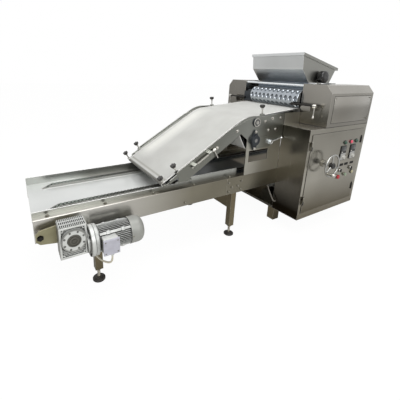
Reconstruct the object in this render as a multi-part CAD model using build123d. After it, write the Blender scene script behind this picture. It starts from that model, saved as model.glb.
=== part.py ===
from build123d import *
import math
import os

os.makedirs("parts", exist_ok=True)

# Soft-biscuit rotary moulder with a tray conveyor. Millimetres, +Z up.
# Machine coordinates: x runs from the discharge end to the moulding head, y = 0 is the centre plane
# and the operator stands on the -Y side. At the end all of it is shifted to the middle of its floor area.

# Clearances
seat_gap = 0.3        # between a curved face and the piece beside it
running_fit = 0.05    # radial, shaft in bearing
door_gap = 1.0        # door to cabinet face

# Tray conveyor
half_width = 280.0    # outer face of a side channel from the centre plane
web_bottom = 318.0
web_top = 435.0
web_t = 3.0
top_flange = 42.0
bottom_flange = 30.0
splice_x = 1118.0
channel_short = 41.0   # channel end before the machine's end
rail_t = 4.0
rail_bottom = 405.0
rail_low = 454.0
rail_high = 479.0
rail_rise_start = 745.0
rail_rise_end = 800.0
rail_end = 1229.0
bed_t = 3.0
bed_short = 5.0        # bed end before the channel end
guide_y = 145.0
guide_inside = 13.0   # half of the chain slot between two guide cheeks
guide_t = 3.0
guide_height = 16.0
guide_nose_x = 86.0
guide_nose_length = 42.0
slot_margin = 5.0

# Tray chain and its shafts
chain_pitch = 19.05
sprocket_teeth = 18
chain_height = 18.0
chain_width = 22.0
sprocket_width = 10.0
drive_x = 148.0
chain_line = 420.85   # height of the carrying run's pitch line
idler_in = 90.0        # idler shaft before the channel end
tray_shaft_r = 12.5
shaft_hole_r = 30.0
idler_block = 60.0
idler_block_t = 23.0

# Legs and feet
leg_size = 40.0
leg_wall = 2.5
leg_bottom = 72.0
leg_plug = 30.0
leg_positions = (280.0, 1188.0)
beam_top = 288.0
beam_height = 84.0
base_leg_size = 60.0
base_leg_inset = 5.0
base_leg_front = 66.0   # first base leg behind the cabinet's face
base_leg_back = 61.0    # second base leg before the machine's end
foot_r = 33.0
foot_height = 12.0
foot_dome = 6.0
foot_stem_r = 8.0
foot_stem_into_leg = 26.0
foot_nut_r = 13.0
foot_nut_height = 12.0

# Tray drive: worm gearbox, torque arm and motor on the operator's side
gearbox_x0 = 88.0
gearbox_length = 117.0
gearbox_drop = 86.0    # gearbox floor below the output shaft
gearbox_height = 158.0
gearbox_depth = 80.0
gearbox_off = 40.0    # gearbox back face from the channel
gearbox_rim = 8.0
gearbox_recess = 6.0
gearbox_neck_r = 52.0
gearbox_neck = 12.0
flange_r = 75.0
gearbox_flange_t = 20.0
worm_centre = 50.0     # output shaft to motor axis
motor_flange_t = 22.0
motor_core_r = 50.0
fin_r = 63.0
fin_t = 3.0
fin_count = 24
motor_body_length = 150.0
end_shield_t = 12.0
cowl_r = 67.0
cowl_t = 2.5
cowl_length = 74.0
cowl_round = 34.0
cowl_slot_count = 12
cowl_slot_width = 5.0
cowl_slot_inner = 14.0
cowl_slot_outer = 34.0
fan_r = 58.0
fan_t = 16.0
fan_hub_r = 16.0
fan_blades = 8
fan_blade_t = 3.0
fan_gap = 12.0
fan_shaft_r = 7.0
fan_shaft_into_motor = 30.0
cover_ring_r = 53.0
cover_ring_bore = 30.0
cover_ring_t = 8.0
hub_r = 28.5
hub_t = 7.0
arm_t = 8.0
arm_end_x = 4.0
arm_half_height = 33.0
arm_end_round = 16.0
anchor_x = 22.0
anchor_bolt_r = 6.0
anchor_bush_r = 15.0
anchor_head_r = 11.0
anchor_head_t = 7.0
box_length = 74.0
box_drop = 33.0        # terminal box floor below the motor axis
box_height = 75.0
box_depth = 29.0
lid_t = 10.0
pad_inset = 4.0
pad_depth = 20.0
gland_in = 44.0        # gland from the gearbox end of the box
gland_r = 10.0
gland_length = 24.0
cable_d = 9.0

# Extraction belt: incline from the nose bar to the crest, then a gentle rise to the head
belt_margin = 22.0     # belt edge to the side plate
belt_t = 3.0
incline_angle = 30.5
head_angle = 5.0
crest_x = 1225.0
crest_z = 815.0
crest_radius = 225.0
incline_length = 658.0
nose_r = 8.0
nose_tail = 46.0
nose_tail_t = 8.0
snub_x = 1165.0
snub_z = 731.0
snub_r = 24.0
return_x = 1313.0
return_z = 673.0
return_r = 70.0
crest_roller_x = 1319.0
crest_roller_r = 30.0
roller_short = 8.0     # roller end inside the belt edge
bed_sheet = 3.0
bed_start = 56.0      # slider bed from the nose, along the incline
bed_crest_end = 1280.0
bed_head_start = 1356.0
bed_head_end = 1690.0

# Incline side plates and the plates that carry them
side_t = 5.0
side_lip = 15.0       # plate edge above the belt on the incline
lip_end_x = 1125.0
strip_start_x = 688.0
strip_drop = 16.0
strip_rise = 3.0
side_foot_x = 745.0
side_foot_length = 70.0
side_foot_tab = 40.0
tab_t = 5.0
side_low_start = (830.0, 499.0)
side_low_end = (1196.0, 724.0)
side_neck = (1250.0, 682.0)
side_bottom_z = 612.0
side_bottom_x0 = 1300.0
side_bottom_x1 = 1460.0
side_heel = (1560.0, 677.0)
side_end_x = 1584.0
side_end_top = 836.0
support_t = 6.0
support_x0 = 1258.0
support_top = 720.0
window_x0 = 1285.0
window_x1 = 1462.0
window_z0 = 522.0
window_z1 = 600.0
ledge_plate_x0 = 1590.0
ledge_plate_top = 837.0
roller_shaft_r = 12.5
crest_shaft_r = 10.0
shaft_clearance = 4.0
flange_bearing_t = 20.0
flange_bearing_r = 34.0
flange_ear = 56.0
flange_ear_r = 12.0
crest_bush_r = 30.0
crest_bush_t = 9.0

# Hand screws, levers and knobs on the belt frame
knob_stem_r = 4.0
knob_r = 17.0
knob_height = 20.0
knob_lobes = 5
knob_lobe_r = 6.0
lug_half = 11.0
lug_height = 14.0
stem_in = 11.0         # stem axis inside the side plate
edge_knob_x = 745.0
edge_knob_rise = 44.0
nose_knob_rise = 36.0
crest_knob_x = 1380.0
crest_knob_rise = 50.0
screw_x0 = 826.0
screw_x1 = 972.0
screw_drop = 19.0
screw_off = 12.0
screw_r = 6.0
screw_collar_r = 10.0
screw_collar = 18.0
screw_block_half = 10.0
screw_block = 24.0
tommy_r = 3.5
tommy_length = 62.0
lever_x = 1464.0
lever_z = 647.0
lever_hub_r = 17.0
lever_hub_t = 18.0
lever_reach = 108.0
lever_tilt = 10.5
lever_r = 6.0
lever_knob_r = 8.0

# Moulding head
pressure_x = 1772.0
pressure_r = 70.0
die_r = 62.0
die_end_gap = 6.0      # die end to the far bearing block and to the near housing wall
feed_r = 85.0
feed_rise = 30.0
feed_gap = 2.0
feed_short = 54.0      # feed roller end inside the housing wall
feed_grooves = 36
feed_groove_r = 4.0
journal_r = 14.0
journal_reach = 60.0   # past the inner wall, inside the housing
block_front = 34.0     # block face ahead of the die axis
block_back = 40.0
block_reach = 92.0     # stepped bearing block inside the far housing wall
block_step_reach = 44.0
block_inner_top = 962.0
block_top = 946.0
block_bottom_gap = 2.0
inner_bearing_r = 21.0
inner_bearing_t = 22.0
tie_r = 9.0
tie_x = 1762.0
tie_z = 1020.0
rod_x_off = 45.0       # clamp rod axis ahead of the housing face
rod_z = 894.0
rod_r = 8.0
rod_reach_in = 34.0    # rod ends inside and outside the housing's inner wall
rod_reach_out = 125.0
rod_head_r = 11.0
rod_head = 12.0
rod_bracket_off = 50.0
rod_bracket_width = 64.0
rod_bracket_z0 = 857.0
rod_bracket_lip = 4.0
handle_hub_r = 13.0
handle_hub = 24.0
handle_r = 5.0
handle_length = 76.0
handle_ball_r = 8.0

# Cabinets, housings and base
sheet = 2.0
wing = 216.0
head_x = 1586.0
house_x = 1748.0
length = 2271.0
pan_z = 117.0
pan_t = 3.0
pan_lip = 14.0
cabinet_top = 756.0
house_top = 1033.0
chamfer_y = 42.0
chamfer_z = 51.0
door_left = 29.0       # cabinet face left free round the door
door_right = 36.0
door_low = 44.0
door_high = 34.0
door_t = 3.0
door_lap = 25.0
hinge_off = 11.0
hinge_r = 4.5
hinge_pin_r = 2.5
hinge_edge = 4.4
hinge_length = 56.0
hinge_leaf = 18.0
hinge_leaf_t = 3.0
hinge_rise = (96.0, 482.0)
latch_in = 13.0        # latch axis inside the door's free edge
latch_rise = (98.0, 477.0)
latch_width = 12.0
latch_height = 60.0
latch_t = 7.0
latch_spindle_r = 5.0
main_motor_x0 = 1850.0
main_motor_length = 250.0
main_motor_r = 72.0
main_motor_foot = 12.0
main_motor_foot_half = 80.0

# Hopper
hopper_in = 40.0       # hopper end inside the housing wall
hopper_front = (1758.0, 1244.0)
hopper_fold = (1771.0, 1130.0)
hopper_front_low = (1854.0, 1036.0)
hopper_back_low = (2108.0, 1036.0)
hopper_back_fold = (2161.0, 1126.0)
hopper_back = (2184.0, 1151.0)
rim_out = 6.0
rim_height = 20.0
ear_length = 50.0
ear_reach = 62.0
ear_t = 6.0
ear_positions = (1862.0, 2046.0)
hopper_knob_x = 1970.0
hopper_knob_z = 1081.0
hopper_knob_r = 44.0
hopper_knob_length = 48.0
hopper_stem_r = 16.0
hopper_spindle_r = 8.0
hopper_stem = 10.0

# Operator's controls on the door, measured from its hinge edge (wheel) and its free edge
wheel_in = 169.0
wheel_z = 510.0
wheel_r = 74.0
wheel_rim_width = 14.0
wheel_rim_depth = 13.0
wheel_rim_round = 5.5
wheel_off = 62.0
wheel_hub_r = 20.0
wheel_hub = 26.0
wheel_shaft_r = 10.0
wheel_boss_r = 26.0
wheel_boss = 12.0
spoke_r = 7.0
spoke_count = 3
crank_angle = 215.0
crank_r = 11.0
crank_length = 56.0
controller_in = (232.0, 110.0)
controller_z = 556.0
controller_width = 66.0
controller_height = 108.0
controller_depth = 6.0
dial_drop = 28.0
dial_r = 16.0
dial_height = 15.0
dial_spindle_r = 3.0
dial_mark = 1.0
lamp_in = (225.0, 149.0, 78.0)
lamp_z = 634.0
reset_lamp_in = 60.0
reset_lamp_z = 388.0
lamp_r = 13.0
lamp_height = 13.0
lamp_collar_r = 16.0
lamp_collar = 4.0
selector_in = (230.0, 90.0)
selector_z = 424.0
selector_r = 14.0
selector_height = 10.0
selector_grip = 7.0
selector_grip_height = 14.0
button_in = (247.0, 157.0)
button_z = (376.0, 382.0)
button_r = (15.0, 11.0)
button_height = 10.0
button_travel = 5.0
button_collar_r = (19.0, 15.0)
button_collar = 4.0
spindle_r = 4.0

# Fasteners
bolt_r = 7.0
bolt_head = 5.0
splice_bolts = (
    (1132.0, 403.0),
    (1241.0, 401.0),
    (1212.0, 369.0),
    (1241.0, 340.0),
    (1160.0, 368.0),
    (1136.0, 340.0),
)
web_bolt = (801.0, 341.0)
flange_bolts = (62.0, 330.0, 600.0, 870.0, 1150.0)
flange_bolt_in = 20.0

# Values that follow from the sizes above
web_inside = half_width - web_t
rail_outside = half_width - top_flange
rail_inside = rail_outside - rail_t
channel_end = length - channel_short
bed_end = channel_end - bed_short
idler_x = channel_end - idler_in
base_leg_positions = (head_x + base_leg_front, length - base_leg_back)
belt_half = half_width - belt_margin
roller_half = belt_half - roller_short
stem_y = half_width - stem_in
block_inner = half_width - block_reach
block_step = half_width - block_step_reach
die_far = block_inner - die_end_gap
die_near = half_width - die_end_gap
feed_half = half_width - feed_short
hopper_half = half_width - hopper_in
rod_inner = half_width - rod_reach_in
rod_outer = half_width + rod_reach_out
rod_bracket_y0 = half_width + rod_bracket_off
rod_bracket_y1 = rod_bracket_y0 + rod_bracket_width
bed_top = rail_bottom + bed_t
pitch_r = chain_pitch / (2 * math.sin(math.pi / sprocket_teeth))
drive_z = chain_line - pitch_r
chain_inner_r = pitch_r - chain_height / 2
chain_outer_r = pitch_r + chain_height / 2
side_outside = half_width + side_t
cabinet_face = half_width + wing
door_inside = cabinet_face + door_gap
door_face = door_inside + door_t
door_x0 = head_x + door_left
door_x1 = length - door_right
door_z0 = pan_z + pan_t + door_low
door_z1 = cabinet_top - door_high
hinge_z = [door_z0 + rise for rise in hinge_rise]
latch_x = door_x1 - latch_in
latch_z = [door_z0 + rise for rise in latch_rise]
wheel_x = door_x0 + wheel_in
controller_x = [door_x1 - offset for offset in controller_in]
lamp_x = [door_x1 - offset for offset in lamp_in]
selector_x = [door_x1 - offset for offset in selector_in]
button_x = [door_x1 - offset for offset in button_in]
leg_y = web_inside - leg_size / 2
gearbox_x1 = gearbox_x0 + gearbox_length
gearbox_bottom = drive_z - gearbox_drop
gearbox_back = -(half_width + gearbox_off)
gearbox_front = gearbox_back - gearbox_depth
motor_y = gearbox_back - gearbox_depth / 2
motor_z = drive_z - worm_centre
gearbox_flange_x = gearbox_x1 + gearbox_neck + gearbox_flange_t
motor_body_x = gearbox_flange_x + motor_flange_t
shield_x0 = motor_body_x + motor_body_length
shield_x1 = shield_x0 + end_shield_t
box_x0 = motor_body_x
box_bottom = motor_z - box_drop
box_back = motor_y - fin_r - pad_inset
box_front = box_back - box_depth - lid_t
gland_x = box_x0 + gland_in
gland_y = box_back - box_depth / 2
gland_end = box_bottom - gland_length
rod_x = house_x - rod_x_off
wheel_y = -(door_face + wheel_off)
crank_end = wheel_y - wheel_rim_depth / 2 - crank_length

shift_x = -length / 2
shift_y = -(cabinet_face + crank_end) / 2


def block(x0, x1, y0, y1, z0, z1):
    box = Box(abs(x1 - x0), abs(y1 - y0), abs(z1 - z0))
    return Pos((x0 + x1) / 2, (y0 + y1) / 2, (z0 + z1) / 2) * box


def rod_along_x(y, z, radius, x0, x1):
    return Pos((x0 + x1) / 2, y, z) * Rot(0, 90, 0) * Cylinder(radius, abs(x1 - x0))


def rod_along_y(x, z, radius, y0, y1):
    return Pos(x, (y0 + y1) / 2, z) * Rot(90, 0, 0) * Cylinder(radius, abs(y1 - y0))


def rod_along_z(x, y, radius, z0, z1):
    return Pos(x, y, (z0 + z1) / 2) * Cylinder(radius, abs(z1 - z0))


def prism_along_y(points, y0, y1):
    face = make_face(Polyline(*[(x, y0, z) for x, z in points], close=True))
    return extrude(face, amount=y1 - y0, dir=(0, 1, 0))


def prism_along_x(points, x0, x1):
    face = make_face(Polyline(*[(x0, y, z) for y, z in points], close=True))
    return extrude(face, amount=x1 - x0, dir=(1, 0, 0))


def other_side(shape):
    return mirror(shape, about=Plane.XZ)


def pair(shape):
    return [shape, other_side(shape)]


def save(name, *shapes):
    solids = [Pos(shift_x, shift_y, 0) * solid for shape in shapes for solid in shape.solids()]
    export_step(solids[0] if len(solids) == 1 else Compound(children=solids), f"parts/{name}.step")


def step_along(point, angle, distance):
    turn = math.radians(angle)
    return (point[0] + distance * math.cos(turn), point[1] + distance * math.sin(turn))


def above(point, angle, distance):
    return step_along(point, angle + 90, distance)


def beyond(start, end, distance):
    """The point that lies distance past end on the line from start."""
    share = 1 + distance / math.dist(start, end)
    return (start[0] + share * (end[0] - start[0]), start[1] + share * (end[1] - start[1]))


# Belt geometry: the carrying surface is two straight lines joined by the crest bend
crest = (crest_x, crest_z)
bend_tangent = crest_radius * math.tan(math.radians((incline_angle - head_angle) / 2))
bend_start = step_along(crest, incline_angle, -bend_tangent)
bend_end = step_along(crest, head_angle, bend_tangent)
bend_centre = above(bend_start, incline_angle, -crest_radius)
nose_top = step_along(crest, incline_angle, -incline_length)
nose_centre = above(nose_top, incline_angle, -(belt_t + seat_gap + nose_r))


def on_incline(x, rise=0.0):
    z = crest_z + (x - crest_x) * math.tan(math.radians(incline_angle))
    return (x, z + rise / math.cos(math.radians(incline_angle)))


def on_head_run(x, rise=0.0):
    z = crest_z + (x - crest_x) * math.tan(math.radians(head_angle))
    return (x, z + rise / math.cos(math.radians(head_angle)))


pressure_z = on_head_run(pressure_x, -(belt_t + seat_gap + pressure_r))[1]
crest_roller_z = on_head_run(crest_roller_x, -(belt_t + seat_gap + crest_roller_r))[1]
die_x = pressure_x
die_z = pressure_z + pressure_r + seat_gap + belt_t + seat_gap + die_r
feed_x = die_x + math.sqrt((die_r + feed_r + feed_gap) ** 2 - feed_rise ** 2)
feed_z = die_z + feed_rise
block_bottom = on_head_run(die_x + block_back, block_bottom_gap)[1]


def belt_outline(lift):
    """Closed loop of straight runs and arcs, lift above the faces that the belt runs on."""
    rounds = [
        (nose_centre, nose_r + seat_gap + lift, 1),
        (bend_centre, crest_radius - belt_t + lift, 1),
        ((pressure_x, pressure_z), pressure_r + seat_gap + lift, 1),
        ((return_x, return_z), return_r + seat_gap + lift, 1),
        ((snub_x, snub_z), snub_r + seat_gap + belt_t - lift, -1),
    ]
    turns = []
    for (centre_a, radius_a, way_a), (centre_b, radius_b, way_b) in zip(rounds, rounds[1:] + rounds[:1]):
        across = (centre_b[0] - centre_a[0], centre_b[1] - centre_a[1])
        lean = math.acos((way_a * radius_a - way_b * radius_b) / math.hypot(*across))
        turns.append(math.atan2(across[1], across[0]) + lean)
    edges = []
    for i, (centre, radius, way) in enumerate(rounds):
        before = turns[i - 1]
        sweep = (way * (before - turns[i])) % (2 * math.pi)
        touch = [before, before - way * sweep / 2, turns[i]]
        reach = way * radius
        edges.append([(centre[0] + reach * math.cos(a), 0, centre[1] + reach * math.sin(a)) for a in touch])
    curve = []
    for i, points in enumerate(edges):
        curve.append(ThreePointArc(*points))
        curve.append(Line(points[2], edges[(i + 1) % len(edges)][0]))
    return make_face(curve)


def ring_along_y(x, z, outer, inner, y0, y1):
    return rod_along_y(x, z, outer, y0, y1) - rod_along_y(x, z, inner, y0, y1)


# Tray conveyor frame
def side_channel(x0, x1):
    section = [
        (half_width, web_bottom),
        (half_width, web_top),
        (rail_outside, web_top),
        (rail_outside, web_top - web_t),
        (web_inside, web_top - web_t),
        (web_inside, web_bottom + web_t),
        (half_width - bottom_flange, web_bottom + web_t),
        (half_width - bottom_flange, web_bottom),
    ]
    channel = prism_along_x(section, x0, x1)
    for x in (drive_x, idler_x):
        if x0 < x < x1:
            channel -= rod_along_y(x, drive_z, shaft_hole_r, web_inside - web_t, half_width + web_t)
    return channel


def tray_rail():
    outline = [
        (0, rail_bottom),
        (rail_end, rail_bottom),
        (rail_end, rail_high),
        (rail_rise_end, rail_high),
        (rail_rise_start, rail_low),
        (0, rail_low),
    ]
    return prism_along_y(outline, rail_inside, rail_outside)


def conveyor_bed():
    bed = block(0, bed_end, -rail_inside, rail_inside, rail_bottom, bed_top)
    cheek = [
        (guide_nose_x, bed_top),
        (guide_nose_x + guide_nose_length, bed_top + guide_height),
        (bed_end - guide_nose_length, bed_top + guide_height),
        (bed_end, bed_top),
    ]
    slot_half = chain_outer_r + slot_margin
    strip_top = drive_z + chain_inner_r - seat_gap
    for y in (-guide_y, guide_y):
        for side in (-1, 1):
            inner = y + side * guide_inside
            outer = inner + side * guide_t
            bed += prism_along_y(cheek, min(inner, outer), max(inner, outer))
        y0, y1 = y - guide_inside, y + guide_inside
        bed += block(drive_x + slot_half, idler_x - slot_half, y0, y1, bed_top, strip_top)
        for x in (drive_x, idler_x):
            bed -= block(x - slot_half, x + slot_half, y0, y1, rail_bottom, bed_top)
    return bed


def tray_chain(y):
    loops = []
    y0, y1 = y - chain_width / 2, y + chain_width / 2
    for radius in (chain_outer_r, chain_inner_r):
        loop = rod_along_y(drive_x, drive_z, radius, y0, y1)
        loop += rod_along_y(idler_x, drive_z, radius, y0, y1)
        loop += block(drive_x, idler_x, y0, y1, drive_z - radius, drive_z + radius)
        loops.append(loop)
    return loops[0] - loops[1]


def sprockets(x):
    wheels = Part()
    radius = chain_inner_r - seat_gap
    for y in (-guide_y, guide_y):
        wheels += rod_along_y(x, drive_z, radius, y - sprocket_width / 2, y + sprocket_width / 2)
    return wheels


def conveyor():
    save("side_channels", *pair(side_channel(0, splice_x)), *pair(side_channel(splice_x, channel_end)))
    save("tray_rails", *pair(tray_rail()))
    save("conveyor_bed", conveyor_bed())
    save("tray_chains", tray_chain(-guide_y), tray_chain(guide_y))
    hub_end = gearbox_front - hub_t
    far_bearing = half_width + flange_bearing_t
    drive = sprockets(drive_x) + rod_along_y(drive_x, drive_z, tray_shaft_r, hub_end, far_bearing)
    drive += rod_along_y(drive_x, drive_z, hub_r, hub_end, gearbox_front - seat_gap)
    save("tray_drive", drive)
    idler_end = web_inside - seat_gap
    idler_shaft = rod_along_y(idler_x, drive_z, tray_shaft_r, -idler_end, idler_end)
    save("tray_idler", sprockets(idler_x) + idler_shaft)


def leg(x):
    half = leg_size / 2
    tube = block(x - half, x + half, leg_y - half, leg_y + half, leg_bottom, web_bottom)
    inside = half - leg_wall
    plug_top = leg_bottom + leg_plug
    tube -= block(x - inside, x + inside, leg_y - inside, leg_y + inside, plug_top, web_bottom)
    return tube - rod_along_z(x, leg_y, foot_stem_r + seat_gap, leg_bottom, plug_top)


def base_leg(x):
    half = base_leg_size / 2
    y = half_width - base_leg_inset - half
    tube = block(x - half, x + half, y - half, y + half, 0, pan_z)
    inside = half - leg_wall
    return tube - block(x - inside, x + inside, y - inside, y + inside, leg_wall, pan_z)


def cross_beam(x):
    half = leg_size / 2
    inner = leg_y - half
    bottom = beam_top - beam_height
    beam = block(x - half, x + half, -inner, inner, bottom, beam_top)
    hollow = half - leg_wall
    return beam - block(x - hollow, x + hollow, -inner, inner, bottom + leg_wall, beam_top - leg_wall)


def levelling_foot(x):
    foot = rod_along_z(x, leg_y, foot_r, 0, foot_height)
    foot += Pos(x, leg_y, foot_height + foot_dome / 2) * Cone(foot_r - foot_dome, foot_nut_r, foot_dome)
    foot += rod_along_z(x, leg_y, foot_stem_r, 0, leg_bottom + foot_stem_into_leg)
    nut = RegularPolygon(foot_nut_r, 6)
    return foot + Pos(x, leg_y, leg_bottom - foot_nut_height) * extrude(nut, amount=foot_nut_height)


def legs():
    tubes = [tube for x in leg_positions for tube in pair(leg(x))]
    base = [tube for x in base_leg_positions for tube in pair(base_leg(x))]
    save("leg_frames", *tubes, *[cross_beam(x) for x in leg_positions], *base)
    save("levelling_feet", *[foot for x in leg_positions for foot in pair(levelling_foot(x))])


# Tray drive
def gearbox():
    top = gearbox_bottom + gearbox_height
    body = block(gearbox_x0, gearbox_x1, gearbox_front, gearbox_back, gearbox_bottom, top)
    body -= block(
        gearbox_x0 + gearbox_rim,
        gearbox_x1 - gearbox_rim,
        gearbox_front,
        gearbox_front + gearbox_recess,
        gearbox_bottom + gearbox_rim,
        top - gearbox_rim,
    )
    body += rod_along_y(drive_x, drive_z, cover_ring_r, gearbox_front, gearbox_front + gearbox_recess)
    body += rod_along_x(motor_y, motor_z, gearbox_neck_r, gearbox_x1, gearbox_x1 + gearbox_neck)
    body += rod_along_x(motor_y, motor_z, flange_r, gearbox_x1 + gearbox_neck, gearbox_flange_x)
    body -= rod_along_y(drive_x, drive_z, tray_shaft_r + running_fit, gearbox_front, gearbox_back)
    save("gearbox_housing", body)
    save("gearbox_cover", ring_along_y(
        drive_x, drive_z, cover_ring_r, cover_ring_bore, gearbox_front - cover_ring_t, gearbox_front))


def torque_arm():
    outline = [
        (arm_end_x, drive_z - arm_half_height + arm_end_round),
        (arm_end_x, drive_z + arm_half_height - arm_end_round),
        (arm_end_x + arm_end_round, drive_z + arm_half_height),
        (drive_x, drive_z + cover_ring_r),
        (drive_x, drive_z - cover_ring_r),
        (arm_end_x + arm_end_round, drive_z - arm_half_height),
    ]
    y0, y1 = gearbox_back, gearbox_back + arm_t
    arm = prism_along_y(outline, y0, y1)
    arm += rod_along_y(drive_x, drive_z, cover_ring_r, y0, y1)
    arm -= rod_along_y(drive_x, drive_z, tray_shaft_r + shaft_clearance, y0, y1)
    return arm - rod_along_y(anchor_x, drive_z, anchor_bolt_r + seat_gap, y0, y1)


def anchor_bolt():
    bolt = rod_along_y(anchor_x, drive_z, anchor_bolt_r, gearbox_back, gearbox_back + arm_t)
    bolt += rod_along_y(anchor_x, drive_z, anchor_head_r, gearbox_back - anchor_head_t, gearbox_back)
    return bolt + rod_along_y(anchor_x, drive_z, anchor_bush_r, gearbox_back + arm_t, -half_width)


def motor():
    body = rod_along_x(motor_y, motor_z, flange_r, gearbox_flange_x, motor_body_x)
    body += rod_along_x(motor_y, motor_z, motor_core_r, motor_body_x, shield_x0)
    for i in range(fin_count):
        fin = Pos((motor_body_x + shield_x0) / 2, 0, fin_r / 2) * Box(motor_body_length, fin_t, fin_r)
        body += Pos(0, motor_y, motor_z) * Rot(360 * i / fin_count, 0, 0) * fin
    body += rod_along_x(motor_y, motor_z, cowl_r - cowl_t - seat_gap, shield_x0, shield_x1)
    pad = block(
        box_x0 + pad_inset, box_x0 + box_length - pad_inset, box_back, box_back + pad_depth,
        box_bottom + pad_inset, box_bottom + box_height - pad_inset)
    body += pad
    bore_end = shield_x1 - fan_shaft_into_motor
    return body - rod_along_x(motor_y, motor_z, fan_shaft_r + running_fit, bore_end, shield_x1)


def fan_cowl():
    end = shield_x0 + cowl_length
    profile = [
        (shield_x0, cowl_r - cowl_t),
        (shield_x0, cowl_r),
        (end - cowl_round, cowl_r),
        (end, cowl_r - cowl_round),
        (end, 0),
        (end - cowl_t, 0),
        (end - cowl_t, cowl_r - cowl_round),
        (end - cowl_round, cowl_r - cowl_t),
    ]
    bulge = cowl_round * (1 - math.sqrt(0.5))
    wall = cowl_t * math.sqrt(0.5)
    edges = [
        Line(*profile[0:2]),
        Line(*profile[1:3]),
        ThreePointArc(profile[2], (end - bulge, cowl_r - bulge), profile[3]),
        Line(*profile[3:5]),
        Line(*profile[4:6]),
        Line(*profile[5:7]),
        ThreePointArc(profile[6], (end - bulge - wall, cowl_r - bulge - wall), profile[7]),
        Line(profile[7], profile[0]),
    ]
    cowl = Pos(0, motor_y, motor_z) * revolve(make_face(edges), axis=Axis.X)
    for i in range(cowl_slot_count):
        slot = Pos(end - cowl_t / 2, 0, (cowl_slot_inner + cowl_slot_outer) / 2) * Box(
            2 * cowl_t, cowl_slot_width, cowl_slot_outer - cowl_slot_inner)
        cowl -= Pos(0, motor_y, motor_z) * Rot(360 * i / cowl_slot_count, 0, 0) * slot
    return cowl


def motor_fan():
    start = shield_x1 + fan_gap
    fan = rod_along_x(motor_y, motor_z, fan_hub_r, start, start + fan_t)
    for i in range(fan_blades):
        blade = Pos(start + fan_t / 2, 0, fan_r / 2) * Box(fan_t, fan_blade_t, fan_r)
        fan += Pos(0, motor_y, motor_z) * Rot(360 * i / fan_blades, 0, 0) * blade
    return fan + rod_along_x(
        motor_y, motor_z, fan_shaft_r, shield_x1 - fan_shaft_into_motor + seat_gap, start + fan_t)


def terminal_box():
    top = box_bottom + box_height
    body = block(box_x0, box_x0 + box_length, box_back - box_depth, box_back, box_bottom, top)
    lid = block(box_x0, box_x0 + box_length, box_front, box_front + lid_t, box_bottom, top)
    gland = rod_along_z(gland_x, gland_y, gland_r, gland_end, box_bottom)
    return [body, lid, gland]


# Motor cable: out of the gland in a loop, up and over the lip of the near channel, along its floor
# and down again into the cabinet
cable_points = [
    (gland_x, gland_y, gland_end),
    (gland_x, gland_y, gland_end - 27),
    (292, -424, 210),
    (268, -388, 206),
    (248, -342, 216),
    (240, -296, 238),
    (238, -254, 272),
    (250, -230, 314),
    (286, -234, 344),
    (338, -252, 341),
    (394, -263, 326),
    (1440, -263, 326),
    (1496, -252, 341),
    (1540, -233, 332),
    (1563, -231, 296),
    (1566, -246, 256),
    (1564, -272, 222),
    (1564, -294, 195),
    (1571, -302, 181),
    (1588, -302, 181),
]


def cable_radii():
    points = [Vector(*p) for p in cable_points]
    radii = []
    for before, corner, after in zip(points, points[1:], points[2:]):
        shorter = min((corner - before).length, (after - corner).length)
        turn = (corner - before).get_angle(after - corner)
        radii.append(0.45 * shorter / math.tan(math.radians(turn / 2)))
    return radii


def motor_cable():
    radii = cable_radii()
    path = FilletPolyline(*cable_points, radius=radii)
    section = Plane(origin=path @ 0, z_dir=path % 0) * Circle(cable_d / 2)
    cable = sweep(section, path=path)
    print("cable radii", [round(r) for r in radii])
    print("cable length", round(path.length), "volume ratio",
          round(cable.volume / (math.pi * cable_d ** 2 / 4 * path.length), 4))
    return cable


def tray_drive():
    gearbox()
    save("torque_arm", torque_arm())
    save("motor_body", motor())
    save("fan_cowl", fan_cowl())
    save("motor_fan", motor_fan())
    save("terminal_box", *terminal_box())
    save("motor_cable", motor_cable())


# Belt frame
def side_plate():
    run_top = on_head_run(side_bottom_x1, -belt_t)
    edge_top = above(bend_end, head_angle, -belt_t)
    crest_mid = step_along(bend_centre, 90 + (incline_angle + head_angle) / 2, crest_radius - belt_t)
    crest_in = above(bend_start, incline_angle, -belt_t)
    corners = [
        (side_foot_x, rail_high),
        on_incline(side_foot_x, -strip_drop),
        on_incline(strip_start_x, -strip_drop),
        on_incline(strip_start_x, strip_rise),
        on_incline(side_foot_x - lug_half, strip_rise),
        on_incline(side_foot_x - lug_half, side_lip),
        on_incline(lip_end_x, side_lip),
        crest_in,
    ]
    tail = [
        edge_top,
        run_top,
        (side_end_x, side_end_top),
        (side_end_x, side_heel[1]),
        side_heel,
        (side_bottom_x1, side_bottom_z),
        (side_bottom_x0, side_bottom_z),
        side_neck,
        side_low_end,
        side_low_start,
        (side_foot_x + side_foot_length, rail_high),
        (side_foot_x, rail_high),
    ]
    edges = [Line(a, b) for a, b in zip(corners, corners[1:])]
    edges.append(ThreePointArc(crest_in, crest_mid, edge_top))
    edges += [Line(a, b) for a, b in zip(tail, tail[1:])]
    face = Plane.XZ * make_face(edges)
    plate = Pos(0, half_width, 0) * extrude(face, amount=side_t, dir=(0, 1, 0))
    tab_x = rail_rise_end
    plate += block(tab_x, tab_x + side_foot_tab, rail_inside, half_width, rail_high, rail_high + tab_t)
    plate += hand_screw_lug(on_incline(edge_knob_x), incline_angle)
    plate += hand_screw_lug(on_head_run(crest_knob_x), head_angle)
    return_hole_r = roller_shaft_r + shaft_clearance
    crest_hole_r = crest_shaft_r + shaft_clearance
    plate -= rod_along_y(return_x, return_z, return_hole_r, half_width, side_outside)
    plate -= rod_along_y(crest_roller_x, crest_roller_z, crest_hole_r, half_width, side_outside)
    return plate + screw_block_solid()


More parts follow.
